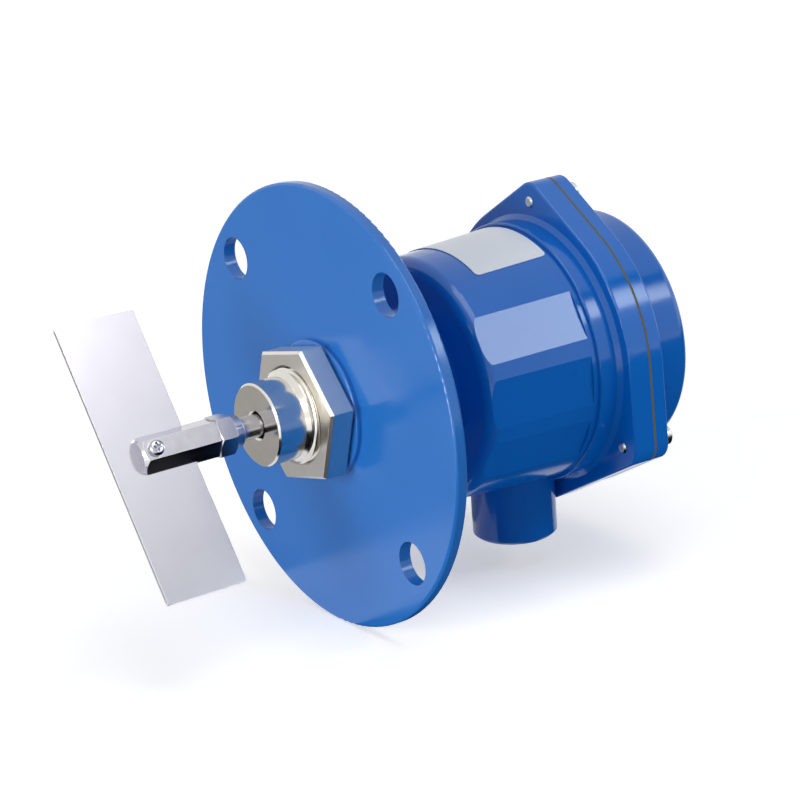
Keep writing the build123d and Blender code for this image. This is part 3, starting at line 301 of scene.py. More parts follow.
def node(tree, kind, inputs=None, **settings):
    """Add one node with its settings. An input that is given a socket is linked to it."""
    made = tree.nodes.new(kind)
    for name, value in settings.items():
        setattr(made, name, value)
    for name, value in (inputs or {}).items():
        if isinstance(value, bpy.types.NodeSocket):
            tree.links.new(value, made.inputs[name])
        else:
            made.inputs[name].default_value = value
    return made


def start_material(name, metallic=0.0):
    """A new material: itself, its node tree, its shader and its Object coordinates."""
    material = bpy.data.materials.new(name)
    material.use_nodes = True
    tree = material.node_tree
    shader = tree.nodes["Principled BSDF"]
    shader.inputs["Metallic"].default_value = metallic
    return material, tree, shader, node(tree, "ShaderNodeTexCoord").outputs["Object"]


def dress(tree, shader, clouds, shades, marks, roughness, depth, edge_round):
    """Finish a surface from two patterns of 0 to 1. Clouds blend its two shades. Marks take its
    roughness from the first value to the second and stand up by a depth, over rounded edges."""
    tint = node(tree, "ShaderNodeMix", {"Factor": clouds, COLOUR_A: shades[0], COLOUR_B: shades[1]},
                data_type="RGBA")
    dull = node(tree, "ShaderNodeMapRange", {"Value": marks, "To Min": roughness[0],
                                             "To Max": roughness[1]})
    edges = node(tree, "ShaderNodeBevel", {"Radius": edge_round}, samples=6)
    bump = node(tree, "ShaderNodeBump", {"Height": marks, "Distance": depth, "Strength": 1.0,
                                         "Normal": edges.outputs[0]})
    tree.links.new(tint.outputs[COLOUR_RESULT], shader.inputs["Base Color"])
    tree.links.new(dull.outputs[0], shader.inputs["Roughness"])
    tree.links.new(bump.outputs[0], shader.inputs["Normal"])


def lathe_coordinates(tree, place):
    """Coordinates that are the same all round the shaft: x, then the distance from its axis."""
    parts = node(tree, "ShaderNodeSeparateXYZ", {"Vector": place})
    flat = node(tree, "ShaderNodeCombineXYZ", {"Y": parts.outputs["Y"], "Z": parts.outputs["Z"]})
    away = node(tree, "ShaderNodeVectorMath", {0: flat.outputs[0]}, operation="LENGTH")
    return node(tree, "ShaderNodeCombineXYZ", {"X": parts.outputs["X"],
                                               "Y": away.outputs["Value"]}).outputs[0]


def new_piece(name, points, faces, material, slot, body=None):
    """Make one closed mesh from an array of points and a list of faces. Points that share a place,
    as at a pole or a seam, are merged, and faces meet smoothly except at a real edge."""
    same_place, no_length, real_edge = 0.0005 * MM, 0.0001 * MM, radians(40)
    mesh = bpy.data.meshes.new(name)
    mesh.from_pydata(points, [], faces)
    mesh.materials.append(material)
    shape = bmesh.new()
    shape.from_mesh(mesh)
    bmesh.ops.remove_doubles(shape, verts=shape.verts, dist=same_place)
    bmesh.ops.dissolve_degenerate(shape, edges=shape.edges, dist=no_length)
    bmesh.ops.recalc_face_normals(shape, faces=shape.faces)
    shape.to_mesh(mesh)
    shape.free()
    mesh.shade_smooth()
    mesh.set_sharp_from_angle(angle=real_edge)
    piece = bpy.data.objects.new(name, mesh)
    bpy.context.scene.collection.objects.link(piece)
    if body:
        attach(piece, body)
    return piece


def grid_faces(rows, columns, closed=False, first=0):
    """Quads between neighbouring points of a grid that is stored row by row."""
    row, column = np.meshgrid(np.arange(rows - 1), np.arange(columns if closed else columns - 1),
                              indexing="ij")
    beside = (column + 1) % columns
    corners = [row * columns + column, row * columns + beside,
               (row + 1) * columns + beside, (row + 1) * columns + column]
    return (np.stack(corners, axis=-1).reshape(-1, 4) + first).tolist()


# Finishes, each named for what the part is made of and how

def enamel_on_casting():
    """Blue stoved enamel over a sand-cast and dressed aluminium body."""
    enamel = bpy.context.scene.enamel
    material, tree, shader, place = start_material("stoved enamel on a casting")
    # The casting's skin shows faintly through the paint as broad waves, with orange peel on top
    skin = node(tree, "ShaderNodeTexNoise", {"Vector": place, "Scale": 1 / (6 * MM), "Detail": 3.0})
    peel = node(tree, "ShaderNodeTexNoise", {"Vector": place, "Scale": 1 / enamel.peel_size,
                                             "Detail": 1.0})
    waves = node(tree, "ShaderNodeMix", {"Factor": 0.5, FLOAT_A: skin.outputs["Fac"],
                                         FLOAT_B: peel.outputs["Fac"]})
    # Paint lies a little thicker in places, which darkens it by a shade
    patches = node(tree, "ShaderNodeTexNoise", {"Vector": place, "Scale": 1 / (30 * MM),
                                                "Detail": 3.0})
    dress(tree, shader, patches.outputs["Fac"], (enamel.colour, enamel.thin_colour),
          waves.outputs[0], roughness=(0.5, 0.6), depth=2 * enamel.peel_height,
          edge_round=enamel.edge_round)
    lacquer(shader, roughness=0.15)
    return material


def enamel_on_plate():
    """Blue stoved enamel over turned steel plate, which is smoother than a casting."""
    enamel = bpy.context.scene.enamel
    material, tree, shader, place = start_material("stoved enamel on plate")
    peel = node(tree, "ShaderNodeTexNoise", {"Vector": place, "Scale": 1 / enamel.peel_size,
                                             "Detail": 1.0})
    patches = node(tree, "ShaderNodeTexNoise", {"Vector": place, "Scale": 1 / (45 * MM),
                                                "Detail": 2.0})
    # The plate's paler shades are painted sheen, the castings' paint as a grazing light shows it
    dress(tree, shader, patches.outputs["Fac"], (enamel.painted_sheen_plate_colour, enamel.thin_painted_sheen_plate_colour),
          peel.outputs["Fac"], roughness=(0.5, 0.6), depth=enamel.peel_height,
          edge_round=enamel.edge_round)
    lacquer(shader, roughness=0.2)
    return material


def lacquer(shader, roughness):
    """Leave all of the shine to the clear resin at the enamel's surface."""
    shader.inputs["Specular IOR Level"].default_value = 0.0
    shader.inputs["Coat Weight"].default_value = 1.0
    shader.inputs["Coat Roughness"].default_value = roughness


def turned(name, shades, roughness):
    """Metal turned on a lathe: fine rings round the axis, some deeper, and a faint haze."""
    metal = bpy.context.scene.metal
    material, tree, shader, place = start_material(name, metallic=1.0)
    # The rings stand wider apart than a real tool's, so that they show
    rings = node(tree, "ShaderNodeTexNoise", {"Vector": lathe_coordinates(tree, place),
                                              "Scale": 1 / metal.turning_pitch, "Detail": 4.0,
                                              "Roughness": 0.7})
    haze = node(tree, "ShaderNodeTexNoise", {"Vector": place, "Scale": 1 / (5 * MM), "Detail": 4.0,
                                             "Roughness": 0.6})
    dress(tree, shader, haze.outputs["Fac"], shades, rings.outputs["Fac"], roughness,
          depth=0.002 * MM, edge_round=metal.edge_round)
    return material


def textured(name, shades, roughness, spacing, detail, harshness, depth, edge_round, metallic=0.0):
    """A surface whose one texture gives both its shades and its marks. Its harshness is the weight
    of its finest detail."""
    material, tree, shader, place = start_material(name, metallic)
    texture = node(tree, "ShaderNodeTexNoise", {"Vector": place, "Scale": 1 / spacing,
                                                "Detail": detail, "Roughness": harshness})
    dress(tree, shader, texture.outputs["Fac"], shades, texture.outputs["Fac"], roughness, depth,
          edge_round)
    return material


def streaks(tree, place, a_metre, detail):
    """A pattern drawn out into streaks, from how many there are to a metre along X, Y and Z."""
    drawn = node(tree, "ShaderNodeMapping", {"Vector": place, "Scale": a_metre})
    return node(tree, "ShaderNodeTexNoise", {"Vector": drawn.outputs[0], "Scale": 1.0,
                                             "Detail": detail}).outputs["Fac"]


def nickel_plate():
    """Bright nickel plate on turned steel: warm, and a little milky where it is worn."""
    return turned("bright nickel on turned steel",
                  (bpy.context.scene.metal.nickel, colour("D4CFC5")), roughness=(0.08, 0.22))


def satin_nickel():
    """Nickel plate on a milled hexagon: duller than on turned faces, so it glows in the light."""
    return turned("satin nickel on a milled nut",
                  (bpy.context.scene.metal.nickel, colour("DAD7D2")), roughness=(0.26, 0.38))


def stainless_bar():
    """Drawn and turned stainless bar: cooler than nickel, with rings where it was faced."""
    return turned("turned stainless bar",
                  (bpy.context.scene.metal.stainless, colour("AEADB6")), roughness=(0.14, 0.28))


def aluminium_rod():
    """Turned aluminium rod: pale, with a soft sheen."""
    return turned("turned aluminium", (colour("D6D7D9"), colour("C4C6C9")), roughness=(0.26, 0.4))


def brass_rod():
    """Turned brass: yellow, a little browned where it was handled."""
    return turned("turned brass", (colour("D9B768"), colour("B8924A")), roughness=(0.2, 0.34))


def bearing_steel():
    """Ground and lapped bearing steel: nearly a mirror."""
    return turned("ground bearing steel", (colour("C9CBCE"), colour("BABDC2")),
                  roughness=(0.06, 0.2))


def drawn_bar():
    """Cold-drawn stainless hexagon bar: bright, with the die's lines along it."""
    metal = bpy.context.scene.metal
    material, tree, shader, place = start_material("drawn stainless bar", metallic=1.0)
    # Die lines 0.4 mm apart run along the bar and change over some 25 mm of its length
    lines = streaks(tree, place, a_metre=(40, 2600, 2600), detail=4.0)
    haze = node(tree, "ShaderNodeTexNoise", {"Vector": place, "Scale": 1 / (4 * MM), "Detail": 3.0,
                                             "Roughness": 0.6})
    dress(tree, shader, haze.outputs["Fac"], (metal.stainless, colour("D2D1D9")), lines,
          roughness=(0.1, 0.2), depth=0.003 * MM, edge_round=metal.edge_round)
    return material


def oiled_bronze():
    """Sintered bronze: matt brown, with pores that hold oil."""
    return textured("sintered oiled bronze", (colour("6E4E2A"), colour("B58A55")),
                    roughness=(0.35, 0.6), spacing=0.25 * MM, detail=3.0, harshness=0.8,
                    depth=0.02 * MM, edge_round=0.15 * MM, metallic=1.0)


def stainless_sheet():
    """Cold-rolled stainless sheet: satin, with a fine grain and a faint haze."""
    metal = bpy.context.scene.metal
    material, tree, shader, place = start_material("rolled stainless sheet", metallic=1.0)
    # The grain is 0.25 mm apart and 8 mm long, and runs upright, too fine to show at a distance
    grain = streaks(tree, place, a_metre=(4000, 4000, 120), detail=3.0)
    haze = node(tree, "ShaderNodeTexNoise", {"Vector": place, "Scale": 1 / (14 * MM), "Detail": 3.0,
                                             "Roughness": 0.6})
    dress(tree, shader, haze.outputs["Fac"], (colour("D8D6DF"), colour("CECDD7")), grain,
          roughness=(0.14, 0.22), depth=0.0015 * MM, edge_round=metal.edge_round)
    return material


def zinc_plate():
    """Bright zinc plate on steel screws and pressings: bluish, with a crystalline cloudiness."""
    material, tree, shader, place = start_material("bright zinc plate", metallic=1.0)
    spangle = node(tree, "ShaderNodeTexVoronoi", {"Vector": place, "Scale": 1 / (1.2 * MM)})
    grey = node(tree, "ShaderNodeRGBToBW", {"Color": spangle.outputs["Color"]})
    cloud = node(tree, "ShaderNodeTexNoise", {"Vector": place, "Scale": 1 / (1.5 * MM),
                                              "Detail": 4.0, "Roughness": 0.6})
    dress(tree, shader, grey.outputs[0], (colour("B9BEC6"), colour("CDD2D8")), cloud.outputs["Fac"],
          roughness=(0.18, 0.42), depth=0.004 * MM, edge_round=0.12 * MM)
    return material


def die_cast_zinc():
    """Zinc die casting as it leaves the mould: dull grey with flow marks."""
    return textured("die-cast zinc", (colour("83868A"), colour("A3A6A9")),
                    roughness=(0.35, 0.55), spacing=4 * MM, detail=5.0, harshness=0.65,
                    depth=0.02 * MM, edge_round=0.3 * MM, metallic=1.0)


def drawn_can():
    """Deep-drawn steel can of the motor: draw lines along it under dull zinc."""
    material, tree, shader, place = start_material("drawn steel can", metallic=1.0)
    # Draw lines 0.55 mm apart run along the can and change over some 17 mm
    lines = streaks(tree, place, a_metre=(60, 1800, 1800), detail=3.0)
    dress(tree, shader, lines, (colour("9A9D9E"), colour("B4B7B8")), lines,
          roughness=(0.3, 0.46), depth=0.004 * MM, edge_round=0.4 * MM)
    return material


def spring_wire():
    """Drawn spring wire and strip: grey and smooth, with die lines too fine to show apart."""
    return textured("drawn spring wire", (colour("8E9196"), colour("A9ACB1")),
                    roughness=(0.22, 0.34), spacing=0.2 * MM, detail=3.0, harshness=0.5,
                    depth=0.001 * MM, edge_round=0.05 * MM, metallic=1.0)


def seal_rubber():
    """Nitrile rubber of the oil seal: black and dull, with a moulded skin."""
    return textured("nitrile rubber", (colour("141414"), colour("232323")),
                    roughness=(0.55, 0.75), spacing=0.3 * MM, detail=3.0, harshness=0.5,
                    depth=0.008 * MM, edge_round=0.2 * MM)


def gasket_fibre():
    """Pressed fibre gasket: brownish grey, with short fibres on its cut edge."""
    material, tree, shader, place = start_material("pressed fibre gasket")
    # Fibres 0.17 mm thick lie in the sheet, which stands across X, and run for about 1 mm
    fibres = streaks(tree, place, a_metre=(6000, 900, 900), detail=4.0)
    dress(tree, shader, fibres, (colour("3A4038"), colour("6B6C5C")), fibres,
          roughness=(0.75, 0.95), depth=0.03 * MM, edge_round=0.1 * MM)
    return material


def label_film():
    """White polyester label film: even, glossy and very slightly textured."""
    return textured("white polyester film", (bpy.context.scene.label.film, colour("D9DEE8")),
                    roughness=(0.28, 0.38), spacing=0.6 * MM, detail=2.0, harshness=0.5,
                    depth=0.003 * MM, edge_round=0.1 * MM)


def laminate_board():
    """Phenolic laminate sheet: brown, with the weave of its paper and a waxy face."""
    material, tree, shader, place = start_material("phenolic laminate")
    weave = node(tree, "ShaderNodeTexWave", {"Vector": place, "Scale": 1 / (2 * MM),
                                             "Distortion": 4.0, "Detail": 3.0},
                 bands_direction="Y").outputs["Fac"]
    dress(tree, shader, weave, (colour("6B3F1D"), colour("83512A")), weave,
          roughness=(0.3, 0.42), depth=0.004 * MM, edge_round=0.2 * MM)
    return material


def moulded(name, shades, roughness):
    """Moulded plastic: an even colour with the mould's spark-eroded texture."""
    return textured(name, shades, roughness, spacing=0.2 * MM, detail=3.0, harshness=0.6,
                    depth=0.006 * MM, edge_round=0.2 * MM)


def black_plastic():
    """Black phenolic moulding of the terminal block and the switches."""
    return moulded("black phenolic moulding", (colour("121214"), colour("1D1D20")),
                   roughness=(0.36, 0.48))


def red_plastic():
    """Red acetal of the switches' plungers: smooth and waxy."""
    return moulded("red acetal", (colour("A0130F"), colour("B01A15")), roughness=(0.24, 0.36))


FINISHES = {
    "blue_enamel": enamel_on_casting,
    "nickel_plated_steel": nickel_plate,
    "stainless_steel": stainless_bar,
    "stainless_sheet": stainless_sheet,
    "bearing_steel": bearing_steel,
    "seal_rubber": seal_rubber,
    "gasket_fibre": gasket_fibre,
    "label_film": label_film,
    "zinc_plated_steel": zinc_plate,
    "turned_aluminium": aluminium_rod,
    "sintered_bronze": oiled_bronze,
    "turned_brass": brass_rod,
    "die_cast_zinc": die_cast_zinc,
    "motor_steel": drawn_can,
    "spring_steel": spring_wire,
    "laminate_board": laminate_board,
    "black_plastic": black_plastic,
    "red_plastic": red_plastic,
}
made_finishes = {}


def finish(slot):
    """The material of one of the record's material slots, made once."""
    if slot not in made_finishes:
        made_finishes[slot] = FINISHES[slot]()
    return made_finishes[slot]


def paint(name, material):
    """Put one material on every slot of a CAD node's object."""
    for slot in frame["nodes"][name].material_slots:
        slot.material = material


# The pieces

class SWITCH_OT_finish_parts(bpy.types.Operator):
    """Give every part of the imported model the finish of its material"""
    bl_idname = "level_switch.finish_parts"
    bl_label = "Finish the Parts"

    def execute(self, context):
        for part in frame["record"]["subparts"]:
            paint(part["node"], finish(part["material_slot"]))
        paint("mounting_flange", enamel_on_plate())
        paint("paddle_holder", drawn_bar())
        paint("lock_nut", satin_nickel())
        return {"FINISHED"}


class SWITCH_OT_threaded_neck(bpy.types.Operator):
    """Model the neck: its plain nose, pipe thread, hexagon collar and bearing bore"""
    bl_idname = "level_switch.threaded_neck"
    bl_label = "Threaded Neck"

    def execute(self, context):
        neck = context.scene.neck
        front, back = (corner.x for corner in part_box("threaded_neck"))
        nose, crest, bore, hole = neck.nose / 2, neck.thread / 2, neck.bore / 2, neck.hole / 2
        points_round, points_a_pitch = 192, 20
        turn = np.linspace(0, 2 * pi, points_round, endpoint=False)
        # The thread is a wave round a helix: a turn of the angle moves it along by one pitch. It
        # is as deep as a pipe thread, and fades out where the cone lies deeper
        depth = 0.64 * neck.pitch
        along = np.arange(neck.cone - (crest - nose), neck.collar_front,
                          neck.pitch / points_a_pitch)
        wave = np.cos(2 * pi * (along[:, None] / neck.pitch - turn / (2 * pi)))
        cone = crest + np.minimum(along - neck.cone, 0)
        thread = np.minimum(crest - depth * (1 + wave) / 2, cone[:, None])
        # The collar's radius grows from the middle of a flat to its corner as one over the cosine
        half_flat = pi / 6
        to_flat = (turn - neck.turn + half_flat) % (2 * half_flat) - half_flat
        collar = neck.flats / 2 / np.cos(to_flat)
        groove = bore + neck.groove_depth
        # The outline goes out over the front wall, back along the outside and home along the bore
        before = [(front + neck.edge, hole), (front, hole + neck.edge),
                  (front, nose - neck.edge), (front + neck.edge, nose)]
        after = [(neck.collar_front, crest), (neck.collar_front, collar),
                 (neck.collar_back, collar), (neck.collar_back, crest), (back, crest), (back, bore),
                 (neck.groove_back, bore), (neck.groove_back, groove),
                 (neck.groove_front, groove), (neck.groove_front, bore),
                 (front + neck.wall, bore), (front + neck.wall, hole), (front + neck.edge, hole)]
        x = np.concatenate([[place for place, radius in before], along,
                            [place for place, radius in after]])
        away = np.concatenate([[np.broadcast_to(radius, turn.shape) for place, radius in before],
                               thread,
                               [np.broadcast_to(radius, turn.shape) for place, radius in after]])
        points = np.stack([np.broadcast_to(x[:, None], away.shape), -away * np.cos(turn),
                           away * np.sin(turn)], axis=-1)
        piece = new_piece("neck_with_thread", points.reshape(-1, 3),
                          grid_faces(*away.shape, closed=True), finish("nickel_plated_steel"),
                          "nickel_plated_steel", "root")
        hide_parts("threaded_neck")
        return {"FINISHED"}


class SWITCH_OT_blade_screw(bpy.types.Operator):
    """Model the blade's pan-head screw with its cross recess"""
    bl_idname = "level_switch.blade_screw"
    bl_label = "Blade Screw"

    def execute(self, context):
        screw = context.scene.blade_screw
        low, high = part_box("blade_screw")
        radius, shank, crown = screw.head / 2, screw.shank / 2, screw.crown
        points_on_top, points_on_rim, points_round = 36, 12, 96
        # The outline runs from the head's top over its rounded rim, under it and down the shank
        flat = np.linspace(0, radius - crown, points_on_top)
        bend = np.linspace(0, pi / 2, points_on_rim)[1:]
        top = np.concatenate([flat, radius - crown + crown * np.sin(bend)])
        rise = np.concatenate([np.full_like(flat, screw.height),
                               screw.height - crown + crown * np.cos(bend)])
        # A shallow dome on top: it falls with the square of the distance from the middle
        rise -= screw.dome * (top / radius) ** 2
        out = np.concatenate([top, [radius, shank, shank, shank - screw.point, 0]])
        up = np.concatenate([rise, [0, 0, screw.point - screw.length, -screw.length,
                                    -screw.length]])
        turn = np.linspace(0, 2 * pi, points_round, endpoint=False)
        across = out[:, None] * np.cos(turn)
        beside = out[:, None] * np.sin(turn)
        # Cross recess: deepest in the middle, shallower along each arm, steeply at its end, with
        # sloping sides
        reach = np.maximum(abs(across), abs(beside))
        width = np.minimum(abs(across), abs(beside))
        side = np.clip((screw.recess_slot / 2 - width) / screw.recess_flank + 0.5, 0, 1)
        steepness = 0.6
        arm = np.clip(1 - reach / (screw.recess / 2), 0, 1) ** steepness
        on_top = np.arange(len(out)) < len(top)
        height = up[:, None] - screw.recess_depth * side * arm * on_top[:, None]
        front = np.array([0, -cos(screw.tilt), sin(screw.tilt)])
        aside = np.array([0, sin(screw.tilt), cos(screw.tilt)])
        middle = np.array([(low.x + high.x) / 2, 0, 0])
        points = (middle + front * (screw.seat + height)[..., None] + aside * beside[..., None]
                  + np.array([1, 0, 0]) * across[..., None])
        piece = new_piece("blade_screw_crossed", points.reshape(-1, 3),
                          grid_faces(*across.shape, closed=True), finish("stainless_steel"),
                          "stainless_steel", "paddle_shaft")
        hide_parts("blade_screw")
        return {"FINISHED"}


class SWITCH_OT_label(bpy.types.Operator):
    """Lay the bare white label with rounded corners round the housing"""
    bl_idname = "level_switch.label"
    bl_label = "Label"

    def execute(self, context):
        label = context.scene.label
        low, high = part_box("blank_label")
        rows, columns = 61, 81
        # The rows lie closer together towards the label's ends, for the corners' sake
        x = low.x + (high.x - low.x) * (1 - np.cos(np.linspace(0, pi, rows))) / 2
        # The film follows the housing's cone, whose radius grows with x at the draft's slope
        outer = high.z - (high.x - x) * tan(label.taper)
        # Near each end the label narrows by a quarter circle, which rounds its corners
        inset = np.clip(label.corner - np.minimum(x - low.x, high.x - x), 0, label.corner)
        cut = label.corner - np.sqrt(label.corner ** 2 - inset ** 2)
        half = label.spread / 2 - cut / outer
        turn = np.linspace(-1, 1, columns) * half[:, None]
        sheets = []
        for radius in (outer, outer - label.thickness):
            sheets.append(np.stack([np.broadcast_to(x[:, None], turn.shape),
                                    radius[:, None] * np.sin(turn),
                                    radius[:, None] * np.cos(turn)], axis=-1).reshape(-1, 3))
        count = rows * columns
        faces = grid_faces(rows, columns)
        faces += [face[::-1] for face in grid_faces(rows, columns, first=count)]
        # The rim's faces join the two sheets, all round the label
        rim = np.concatenate([np.arange(columns), np.arange(1, rows) * columns + columns - 1,
                              count - 2 - np.arange(columns - 1),
                              np.arange(rows - 2, 0, -1) * columns])
        after = np.roll(rim, -1)
        faces += np.stack([after, rim, rim + count, after + count], axis=-1).tolist()
        piece = new_piece("label_film", np.concatenate(sheets), faces, finish("label_film"),
                          "label_film", "root")
        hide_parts("blank_label")
        return {"FINISHED"}


class SWITCH_OT_return_spring(bpy.types.Operator):
    """Wind the return spring's wire, with a loop at each end, from the arm's pin to the post"""
    bl_idname = "level_switch.return_spring"
    bl_label = "Return Spring"

    def execute(self, context):
        spring = context.scene.return_spring
        low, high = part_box("return_spring")
        pin_low, pin_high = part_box("arm_pin")
        post_low, post_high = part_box("spring_post")
        level = (low.x + high.x) / 2
        height = (pin_low.z + pin_high.z) / 2
        post = (post_low.y + post_high.y) / 2
        wire = spring.wire / 2
        pin_loop = (pin_high.y - pin_low.y) / 2 + spring.loop_play + wire
        post_loop = (post_high.y - post_low.y) / 2 + spring.loop_play + wire
        coil = spring.coil / 2 - wire
        points_a_loop, points_a_coil, wire_sides = 40, 24, 10
        # Each end loop starts beside the coils and goes once round its pin, in the plane across X
        loop = np.linspace(spring.loop_opening / 2, 2 * pi - spring.loop_opening / 2,
                           points_a_loop)
        first = np.stack([np.full_like(loop, level), pin_loop * np.cos(loop),
                          height + pin_loop * np.sin(loop)], axis=-1)
        last = np.stack([np.full_like(loop, level), post - post_loop * np.cos(loop),
                         height + post_loop * np.sin(loop)], axis=-1)
        # The coils are a helix: the wire turns round the line between the pins as it moves along it
        start, end = pin_loop + wire, post - post_loop - wire
        share = np.linspace(0, 1, spring.coils * points_a_coil)
        wind = 2 * pi * spring.coils * share - pi / 2
        helix = np.stack([level + coil * np.cos(wind), start + (end - start) * share,
                          height + coil * np.sin(wind)], axis=-1)
        path = np.concatenate([first, helix, last[::-1]])
        inner = np.concatenate([first - [level, 0, height],
                                helix - np.stack([np.full_like(share, level), helix[:, 1],
                                                  np.full_like(share, height)], axis=-1),
                                last[::-1] - [level, post, height]])
        piece = new_piece("return_spring_wire", *tube(path, inner, wire, wire_sides),
                          finish("spring_steel"), "spring_steel")
        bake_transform(piece)
        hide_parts("return_spring")
        return {"FINISHED"}


def tube(path, outward, radius, sides):
    """Carry a circle along a path. At each point the circle stands square to the path, and its
    first point looks the way of the outward vector, less that vector's part along the path."""
    ahead = np.gradient(path, axis=0)
    ahead /= np.linalg.norm(ahead, axis=1, keepdims=True)
    first = outward - ahead * np.sum(outward * ahead, axis=1, keepdims=True)
    first /= np.linalg.norm(first, axis=1, keepdims=True)
    second = np.cross(ahead, first)
    turn = np.linspace(0, 2 * pi, sides, endpoint=False)
    points = (path[:, None] + radius * (np.cos(turn)[:, None] * first[:, None]
                                        + np.sin(turn)[:, None] * second[:, None])).reshape(-1, 3)
    points = np.concatenate([points, path[:1], path[-1:]])
    faces = grid_faces(len(path), sides, closed=True)
    ring = np.arange(sides)
    beside = (ring + 1) % sides
    last = (len(path) - 1) * sides
    count = len(path) * sides
    faces += np.stack([beside, ring, np.full(sides, count)], axis=-1).tolist()
    faces += np.stack([last + ring, last + beside, np.full(sides, count + 1)], axis=-1).tolist()
    return points, faces


class SWITCH_OT_stage(bpy.types.Operator):
    """Lay the floor, hang the lights and set up the camera"""
    bl_idname = "level_switch.stage"
    bl_label = "Stage"

    def execute(self, context):
        stage = context.scene.stage
        floor = cad_box[0][2] - 0.2 * MM
        on_floor = floor + 1.0 * MM
        panel("floor", Matrix.Translation((0, 0, floor)), width=12.0, height=12.0,
              material=floor_paint(stage))
        # Cards that only mirrors see: black cloth on the floor in front, which keeps the white out
        # of the part's lower side, grey card on the floor behind, and a black flag over the softbox
        card("black_cloth", Matrix.Translation((0.92, -0.56, on_floor)), width=2.16, height=1.1,
             shades=BLACK_CLOTH)
        card("grey_card", Matrix.Translation((-0.2, 0.45, on_floor)), width=1.0, height=0.8,
             shades=("C4C4C4", "CACACA"))
        card("black_flag", hung((0.5, -0.6, 0.64), distance=1.9), width=1.8, height=0.2,
             shades=BLACK_CLOTH)
        lamp("low_light", hung((-0.96, -0.16, 0.22), distance=2.5), width=1.2, height=1.2,
             power=stage.low_light, tint="FFFAF2")
        lamp("top_light", hung((0.05, -0.3, 0.95), distance=2.2), width=1.6, height=1.6,
             power=stage.top_light, tint="FFFFFF")
        lamp("softbox", hung((0.539, -0.666, 0.515), distance=2.0), width=0.6, height=0.4,
             power=stage.softbox, tint="F0FBFF")
        lamp("fill", hung((0.85, -0.45, 0.25), distance=2.5), width=1.2, height=1.2,
             power=stage.fill, tint="FFFFFF")
        surround(stage.ambient)
        context.scene.view_settings.view_transform = "Standard"
        camera = bpy.data.cameras.new("camera")
        camera.lens = stage.camera_lens
        camera.sensor_width = 36.0
        camera.clip_start = 0.05
        held = bpy.data.objects.new("camera", camera)
        ahead = Vector((sin(stage.camera_turn) * cos(stage.camera_drop),
                        cos(stage.camera_turn) * cos(stage.camera_drop), -sin(stage.camera_drop)))
        held.matrix_world = facing(Vector(stage.camera_place), ahead, stage.camera_roll)
        context.scene.collection.objects.link(held)
        context.scene.camera = held
        return {"FINISHED"}


def facing(place, ahead, roll=0.0):
    """Placing of a thing that looks ahead along its own -Z, with its Y as far up as it goes."""
    right = ahead.cross(Vector((0, 0, 1))).normalized()
    up = right.cross(ahead)
    turned_right = right * cos(roll) + up * sin(roll)
    turned_up = up * cos(roll) - right * sin(roll)
    turn = Matrix((turned_right, turned_up, -ahead.normalized())).transposed().to_4x4()
    return Matrix.Translation(place) @ turn


def hung(toward, distance):
    """Placing of a thing that hangs out in one direction from the part and looks back at it."""
    out = Vector(toward).normalized()
    return facing(out * distance, -out)


def panel(name, placing, width, height, material):
    """A flat rectangle about the origin of its placing, facing along its Z."""
    mesh = bpy.data.meshes.new(name)
    corners = [Vector((x * width / 2, y * height / 2, 0))
               for x, y in ((-1, -1), (1, -1), (1, 1), (-1, 1))]
    mesh.from_pydata([placing @ corner for corner in corners], [], [(0, 1, 2, 3)])
    mesh.materials.append(material)
    made = bpy.data.objects.new(name, mesh)
    bpy.context.scene.collection.objects.link(made)
    return made


def card(name, placing, width, height, shades):
    """A matt card that only shows in what mirrors it."""
    material, tree, shader, place = start_material(name)
    nap = node(tree, "ShaderNodeTexNoise", {"Vector": place, "Scale": 1 / (3 * MM)})
    tint = node(tree, "ShaderNodeMix", {"Factor": nap.outputs["Fac"], COLOUR_A: colour(shades[0]),
                                        COLOUR_B: colour(shades[1])}, data_type="RGBA")
    tree.links.new(tint.outputs[COLOUR_RESULT], shader.inputs["Base Color"])
    shader.inputs["Roughness"].default_value = 1.0
    shader.inputs["Specular IOR Level"].default_value = 0.0
    made = panel(name, placing, width, height, material)
    made.visible_camera = False
    made.visible_diffuse = False
    made.visible_shadow = False


def floor_paint(stage):
    """Pale matt paper on the floor, a touch brighter where it is seen so that it reads as white."""
    material, tree, shader, place = start_material("pale floor paper")
    grain = node(tree, "ShaderNodeTexNoise", {"Vector": place, "Scale": 1 / (4 * MM)})
    tint = node(tree, "ShaderNodeMix", {"Factor": grain.outputs["Fac"],
                                        COLOUR_A: stage.floor_colour,
                                        COLOUR_B: colour("EDEDED")}, data_type="RGBA")
    tree.links.new(tint.outputs[COLOUR_RESULT], shader.inputs["Base Color"])
    shader.inputs["Roughness"].default_value = 0.9
    shader.inputs["Specular IOR Level"].default_value = 0.1
    shader.inputs["Emission Color"].default_value = (1, 1, 1, 1)
    # The lift grows with the distance from the part, so that the floor ends in plain white
    far = node(tree, "ShaderNodeVectorMath", {0: place}, operation="LENGTH")
    fade = node(tree, "ShaderNodeMapRange", {"Value": far.outputs["Value"],
                                             "From Min": stage.floor_fade_start,
                                             "From Max": stage.floor_fade_end,
                                             "To Min": stage.floor_lift, "To Max": 1.0})
    lift = node(tree, "ShaderNodeMath", {0: seen_or_mirrored(tree), 1: fade.outputs[0]},
                operation="MULTIPLY")
    tree.links.new(lift.outputs[0], shader.inputs["Emission Strength"])
    return material


def seen_or_mirrored(tree):
    """1 for a ray from the camera, a mirror or a glass, and 0 for the rays that light things."""
    path = node(tree, "ShaderNodeLightPath")
    seen = node(tree, "ShaderNodeMath", {0: path.outputs["Is Camera Ray"],
                                         1: path.outputs["Is Glossy Ray"]}, operation="MAXIMUM")
    through = path.outputs["Is Transmission Ray"]
    return node(tree, "ShaderNodeMath", {0: seen.outputs[0], 1: through},
                operation="MAXIMUM").outputs[0]


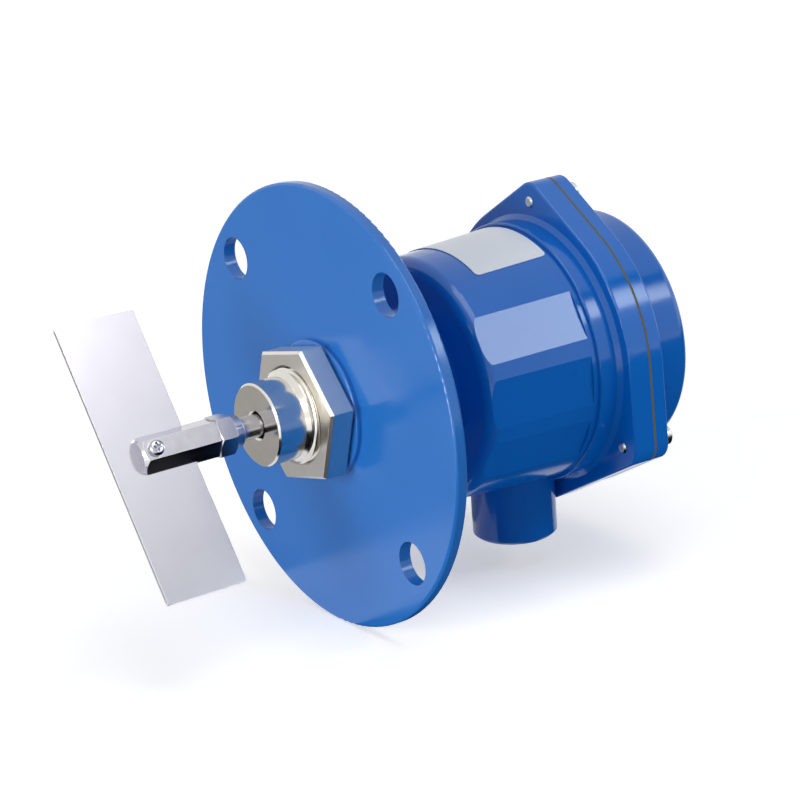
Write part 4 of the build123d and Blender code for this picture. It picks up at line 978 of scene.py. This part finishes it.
def lamp(name, placing, width, height, power, tint):
    """A rectangular area light at its placing."""
    light = bpy.data.lights.new(name, "AREA")
    light.shape = "RECTANGLE"
    light.size = width
    light.size_y = height
    light.energy = power
    light.color = colour(tint)[:3]
    held = bpy.data.objects.new(name, light)
    held.matrix_world = placing
    bpy.context.scene.collection.objects.link(held)


def surround(level):
    """White all round where it is seen or mirrored, and a lower even level that lights the part."""
    world = bpy.data.worlds.new("surround")
    world.use_nodes = True
    tree = world.node_tree
    tree.nodes.clear()
    light = node(tree, "ShaderNodeBackground", {"Color": (1, 1, 1, 1), "Strength": level})
    white = node(tree, "ShaderNodeBackground", {"Color": (1, 1, 1, 1), "Strength": 1.0})
    mixed = node(tree, "ShaderNodeMixShader", {0: seen_or_mirrored(tree), 1: light.outputs[0],
                                               2: white.outputs[0]})
    node(tree, "ShaderNodeOutputWorld", {"Surface": mixed.outputs[0]})
    bpy.context.scene.world = world


class SWITCH_PT_panel(bpy.types.Panel):
    """The level switch's pieces, finishes and stage"""
    bl_idname = "SWITCH_PT_panel"
    bl_label = "Level Switch"
    bl_space_type = "VIEW_3D"
    bl_region_type = "UI"
    bl_category = "Level Switch"

    def draw(self, context):
        for operator in OPERATORS:
            self.layout.operator(operator.bl_idname)
        for name, group in SETTINGS.items():
            box = self.layout.box()
            box.label(text=group.__name__)
            for item in group.__annotations__:
                box.prop(getattr(context.scene, name), item)


OPERATORS = (SWITCH_OT_finish_parts, SWITCH_OT_threaded_neck, SWITCH_OT_blade_screw,
             SWITCH_OT_label, SWITCH_OT_return_spring, SWITCH_OT_stage)
SETTINGS = {"enamel": EnamelSettings, "metal": MetalSettings, "neck": NeckSettings,
            "blade_screw": ScrewSettings, "label": LabelSettings, "return_spring": SpringSettings,
            "stage": StageSettings}


def register():
    for name, group in SETTINGS.items():
        bpy.utils.register_class(group)
        setattr(bpy.types.Scene, name, bpy.props.PointerProperty(type=group))
    for operator in OPERATORS:
        bpy.utils.register_class(operator)
    bpy.utils.register_class(SWITCH_PT_panel)


def unregister():
    bpy.utils.unregister_class(SWITCH_PT_panel)
    for operator in reversed(OPERATORS):
        bpy.utils.unregister_class(operator)
    for name, group in reversed(SETTINGS.items()):
        delattr(bpy.types.Scene, name)
        bpy.utils.unregister_class(group)


def main():
    register()
    bpy.ops.level_switch.finish_parts()
    bpy.ops.level_switch.threaded_neck()
    bpy.ops.level_switch.blade_screw()
    bpy.ops.level_switch.label()
    bpy.ops.level_switch.return_spring()
    bpy.ops.level_switch.stage()


if __name__ == "__main__":
    main()
